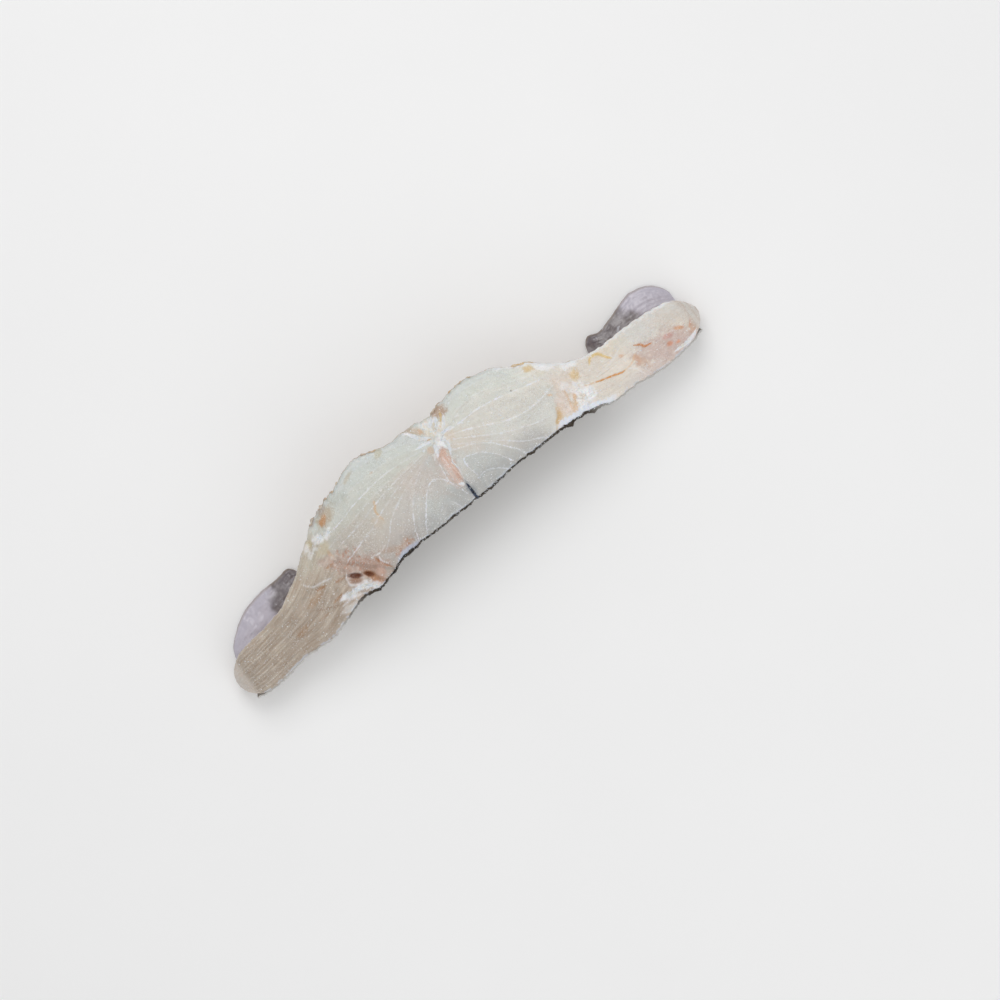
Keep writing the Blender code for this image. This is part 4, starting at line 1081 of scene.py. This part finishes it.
def build_backbone():
    turns = np.linspace(0, 2 * np.pi, COLUMN_SIDES, endpoint=False)
    rows = []
    for z in np.linspace(COLUMN_FOOT, COLUMN_TOP, COLUMN_ROWS):
        rows.append((z, VERTEBRA_RIM - (VERTEBRA_RIM - VERTEBRA_WAIST) * waist_at(z), False))
    rows += [(0.0, VERTEBRA_RIM * share, True) for share in TOP_RINGS]
    rings = []
    for z, radius, on_top in rows:
        x = BACKBONE_CENTRE[0] + radius * np.cos(turns)
        y = BACKBONE_CENTRE[1] + radius * np.sin(turns)
        ragged = 0.5 * grain(4, 40, x, y, 0 * x + z)
        x, y = x + ragged * np.cos(turns), y + ragged * np.sin(turns)
        crumbled = 0.45 * grain(1.8, 41, x, y * 0.35) + 0.2 * grain(1.2, 42, x, y, octaves=2)
        face = np.minimum(face_height(x, y) + crumbled + 0.1, HIGHEST_CHIP)
        rings.append(np.stack([x, y, face if on_top else 0 * x + z], -1))
    piece = piece_of("sawn_backbone", swept(np.array(rings)))
    px, py, pz = places_of(piece)
    top = flesh_tint(px, py, face_height(px, py), 0 * px)
    share, waist = ramp(55, 58, pz)[:, None], waist_at(pz)[:, None]
    side = colour(218, 209, 194) * (1 - waist) + colour(196, 172, 154) * waist
    lay(piece, "tint", top * share + side * (1 - share))
    return piece


def bone_material():
    made, tree, shader = new_material("cod_bone")
    place = knit(tree, "SeparateXYZ", Vector=knit(tree, "TexCoord").outputs["Object"]).outputs
    wide, tall = maths(tree, "MULTIPLY", place["X"], 520.0), maths(tree, "MULTIPLY", place["Y"], 170.0)
    down = maths(tree, "MULTIPLY", place["Z"], 330.0)
    splinters = clouds(tree, 1.0, 4, 0.65, knit(tree, "CombineXYZ", X=wide, Y=tall, Z=down).outputs[0])
    base = reads(tree, "tint")["Color"]
    base = blend(tree, soft_step(tree, splinters, 0.5, 0.66), base, colour(243, 242, 240), 0.55)
    base = blend(tree, soft_step(tree, splinters, 0.46, 0.3), base, colour(204, 184, 152), 0.45)
    wet = maths(tree, "MULTIPLY_ADD", clouds(tree, 500, 2), 0.3, 0.3)
    height = maths(tree, "MULTIPLY_ADD", splinters, 1.5, clouds(tree, 900, 3, 0.7))
    finish(tree, shader, base, wet, height, 0.5, 0.4, translucent=0.3)
    return made


backbone = build_backbone()
backbone.data.materials.append(bone_material())
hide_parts("backbone")
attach(backbone, "root")

# --- Pectoral fins ------------------------------------------------------------------------------
# One fin at the foot of each arm, folded against it: soft rays in wet grey skin, thick at the
# root and thin at its round outer edge. They lie on the surface beside the arm.
FIN_EDGES = {
    "fin_right": [
        (114.5, -2), (116, 2.5), (120, 6), (128, 4.2), (137, 6), (148, 10), (160, 12.5), (172, 9),
        (179, 2), (181, -3),
    ],
    "fin_left": [
        (-192, -23), (-189, -17), (-180, -9), (-170, -3), (-158, 0.5), (-146, 1.5), (-137, 2),
        (-130, 3), (-126.5, 0), (-125, -4),
    ],
}  # fmt: skip
FIN_THICKNESS, FIN_FOOT, FIN_RAYS = 6.0, 0.6, 9
FIN_BELOW, FIN_ABOVE, FIN_ROUNDING = 0.35, 0.62, 10  # shares of the thickness, and the round ends
FIN_STATIONS, FIN_POINTS = 150, 46


def build_fin(name, edge):
    first, last = edge[0][0], edge[-1][0]
    x = first + (last - first) * (0.5 - 0.5 * np.cos(np.pi * np.linspace(0.02, 0.98, FIN_STATIONS)))
    keel = FIN_FOOT + FIN_BELOW * FIN_THICKNESS
    under = FOOT_RADIUS - math.sqrt(FOOT_RADIUS**2 - (FOOT_RADIUS - keel) ** 2)
    inner = run_of(CAVITY_EDGE, x) - run_of(CAVITY_WALL_SLOPE, x) - under + 0.2
    outer = run_of(edge, x) + 0.35 * grain(5, 50, x)
    inner, outer = inner[:, None], outer[:, None]
    from_end = np.minimum(x - first, last - x)
    thick = FIN_THICKNESS * np.sqrt(np.clip(from_end / FIN_ROUNDING, 0, 1))[:, None]
    s = np.cos(np.linspace(0, np.pi, FIN_POINTS))
    y = (outer + inner) / 2 + (outer - inner) / 2 * s
    crown = thick * np.sqrt(np.clip(1 - s * s, 0, 1))
    places = np.broadcast_to(x[:, None], y.shape)
    wander = grain(20, 51, places, y)
    rays = 0.12 * np.cos(FIN_RAYS * np.pi * s + 3 * wander) * np.clip(crown / 3, 0, 1)
    folds = (0.7 * grain(6, 52, places, y) + 0.4 * wander) * np.clip(crown / 4, 0, 1)
    upper = keel + FIN_ABOVE * crown + rays + folds
    lower = np.maximum(keel - FIN_BELOW * crown, FIN_FOOT)
    top, under_side = (y[:, ::-1], upper[:, ::-1]), (y[:, 1:-1], lower[:, 1:-1])
    piece = piece_of(name + "_rays", swept(rings_at(x, top, under_side)))
    px, py, _ = places_of(piece)
    root, rim = np.interp(px, x, inner[:, 0]), np.interp(px, x, outer[:, 0])
    share = (py - root) / np.maximum(1, rim - root)
    lay(piece, "across", share)
    # The far end, and the outer side near it, take the fin's painted lilac-white highlights
    far = ramp(144, 163, np.abs(px)) + 0.48 * ramp(0.45, 0.85, share) * ramp(137, 146, np.abs(px))
    lay(piece, "far", np.clip(far, 0, 1))
    return piece


def fin_material():
    made, tree, shader = new_material("fin_skin")
    mottle = soft_step(tree, clouds(tree, 130, 3, 0.55), 0.38, 0.62)
    base = blend(tree, mottle, colour(118, 110, 112), colour(146, 140, 142))
    base = blend(tree, soft_step(tree, clouds(tree, 70, 3), 0.52, 0.66), base, colour(92, 82, 88), 0.6)
    # The root is the darkest; the far end is painted lilac and white, painted highlights over the fin's own
    # lilac tone
    pale = maths(tree, "MULTIPLY_ADD", clouds(tree, 90, 3), 0.9, reads(tree, "far")["Fac"])
    base = blend(tree, soft_step(tree, pale, 0.75, 1.25), base, colour(204, 199, 212), 0.85)
    to_edge = reads(tree, "across")["Fac"]
    base = blend(tree, soft_step(tree, to_edge, 0.9, 1.0), base, colour(150, 132, 112), 0.5)
    # Painted highlights: small bluish-white glints
    glints = soft_step(tree, clouds(tree, 210, 2), 0.64, 0.72)
    base = blend(tree, glints, base, colour(206, 208, 218), 0.55)
    wander = maths(tree, "MULTIPLY", clouds(tree, 60, 2), 9.0)
    ribs = maths(tree, "SINE", maths(tree, "MULTIPLY_ADD", to_edge, 60.0, wander))
    height = maths(tree, "MULTIPLY_ADD", ribs, 0.05, clouds(tree, 260, 4))
    wet = maths(tree, "MULTIPLY_ADD", clouds(tree, 350, 2), 0.3, 0.18)
    finish(tree, shader, base, wet, height, 0.5, 0.4, coat=0.4)
    return made


fin_finish = fin_material()
for name, edge in FIN_EDGES.items():
    fin = build_fin(name, edge)
    fin.data.materials.append(fin_finish)
    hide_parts(name)
    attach(fin, "root")

# --- Frost --------------------------------------------------------------------------------------
# The piece was frozen, so ice crumbs lie on the cut face. Most are near the skin and on the middle
# of the right loin.
FROST_SMALLEST, FROST_LARGEST = 0.13, 0.4
FROST_COUNT, FROST_ENDS = 1400, (-190, 178)
FROST_ALONG_SKIN, FROST_SKIN_ENDS = 520, (-104, 108)
FROST_SUNK, FROST_SUNK_AT_SKIN = 0.04, 0.9  # the skin's edge lies a little lower than the flesh
WET_REACH = 5
# Where it lies thickest: middle, spread and count
FROST_BEDS = [
    ((52, -3), (22, 10), 420), ((-30, -18), (26, 12), 220),
    ((12, -20), (26, 9), 180), ((93, -22), (9, 9), 90),
]  # fmt: skip


def build_frost():
    chance = np.random.default_rng(5)
    x = [chance.uniform(*FROST_ENDS, FROST_COUNT), chance.uniform(*FROST_SKIN_ENDS, FROST_ALONG_SKIN)]
    beside_skin = 0.05 * chance.uniform(0, 1, FROST_ALONG_SKIN) ** 2 - 0.014
    share = [chance.uniform(0.04, 0.94, FROST_COUNT), beside_skin]
    for centre, spread, count in FROST_BEDS:
        bed_x = chance.normal(centre[0], spread[0] * 0.6, count)
        bed_y = chance.normal(centre[1], spread[1] * 0.6, count)
        low, high = skin_line(bed_x), cavity_line(bed_x)
        x.append(bed_x)
        share.append(np.clip((bed_y - low) / (high - low), 0.03, 0.95))
    x, share = np.concatenate(x), np.concatenate(share)
    low, high = skin_line(x), cavity_line(x)
    y = low + share * (high - low)
    # None lies in the wet hollows
    from_vein, from_pocket = (np.hypot(x - at[0], y - at[1]) for at in (VEIN, POCKET))
    dry = np.minimum(from_vein, from_pocket) > WET_REACH
    x, y, share = x[dry], y[dry], share[dry]
    sizes = FROST_SMALLEST + (FROST_LARGEST - FROST_SMALLEST) * chance.uniform(0, 1, len(x)) ** 4
    sunk = np.where(share < 0, FROST_SUNK_AT_SKIN, FROST_SUNK)
    return piece_of("frost_crumbs", *pebbles(on_face(x, y, sunk), sizes, 1, chance, 0.2))


def frost_material():
    made, tree, shader = new_material("frost")
    base = blend(tree, clouds(tree, 900, 2), colour(236, 238, 241), colour(247, 248, 250))
    wet = maths(tree, "MULTIPLY_ADD", clouds(tree, 900, 2), 0.2, 0.15)
    finish(tree, shader, base, wet, clouds(tree, 2500, 2), 0.3, translucent=0.3, coat=0.3)
    return made


frost = build_frost()
frost.data.materials.append(frost_material())
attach(frost, "root")

# --- Surface, light and camera ------------------------------------------------------------------
# A plain pale worktop under soft light from a big window, seen from straight above and turned so
# that the piece runs up to the right.
WORKTOP_METRES, WORKTOP_BELOW = 8, 0.2
WORKTOP_DULL, WORKTOP_BRIGHT = (0.92, 0.92, 0.92), (0.95, 0.95, 0.95)
# Each lamp's place and size in metres, and its power in watts
LAMPS = {
    "window": ((0.35, 0.9, 1.6), 1.1, 9.6),
    "sky": ((-0.2, 0.1, 2.3), 2.8, 14.6),
    "fill": ((0.2, -1.3, 1.1), 1.6, 5.6),
}
LAMPS_FACE, ROOM_LIGHT = Vector((0, 0, 0.03)), 0.42
VIEW_WIDTH, VIEW_CENTRE, VIEW_TURN = 640, (9.6, -45.3), 37  # millimetres and degrees
FACE_LEVEL, CAMERA_ABOVE, SENSOR_WIDTH, FARTHEST_METRES = 58, 1900, 36, 20

bpy.ops.mesh.primitive_plane_add(size=WORKTOP_METRES, location=(0, 0, -WORKTOP_BELOW * MM))
surface = bpy.context.object
surface.name = "worktop"
made, tree, shader = new_material("pale_worktop")
pale = blend(tree, clouds(tree, 6), WORKTOP_DULL, WORKTOP_BRIGHT)
tree.links.new(pale, shader.inputs["Base Color"])
shader.inputs["Roughness"].default_value = 0.7
surface.data.materials.append(made)

for name, (place, size, power) in LAMPS.items():
    lamp = bpy.data.lights.new(name, "AREA")
    lamp.energy, lamp.size = power, size
    holder = bpy.data.objects.new(name, lamp)
    holder.location = place
    holder.rotation_euler = (LAMPS_FACE - Vector(place)).to_track_quat("-Z", "Y").to_euler()
    bpy.context.scene.collection.objects.link(holder)

world = bpy.data.worlds.new("studio")
world.use_nodes = True
world.node_tree.nodes["Background"].inputs["Color"].default_value = (1, 1, 1, 1)
world.node_tree.nodes["Background"].inputs["Strength"].default_value = ROOM_LIGHT
bpy.context.scene.world = world
bpy.context.scene.view_settings.view_transform = "Standard"

camera = bpy.data.objects.new("camera", bpy.data.cameras.new("camera"))
camera.data.sensor_width = SENSOR_WIDTH
camera.data.lens = SENSOR_WIDTH * CAMERA_ABOVE / VIEW_WIDTH
camera.location = (VIEW_CENTRE[0] * MM, VIEW_CENTRE[1] * MM, (FACE_LEVEL + CAMERA_ABOVE) * MM)
camera.rotation_euler = (0, 0, -math.radians(VIEW_TURN))
camera.data.clip_end = FARTHEST_METRES
bpy.context.scene.collection.objects.link(camera)
bpy.context.scene.camera = camera
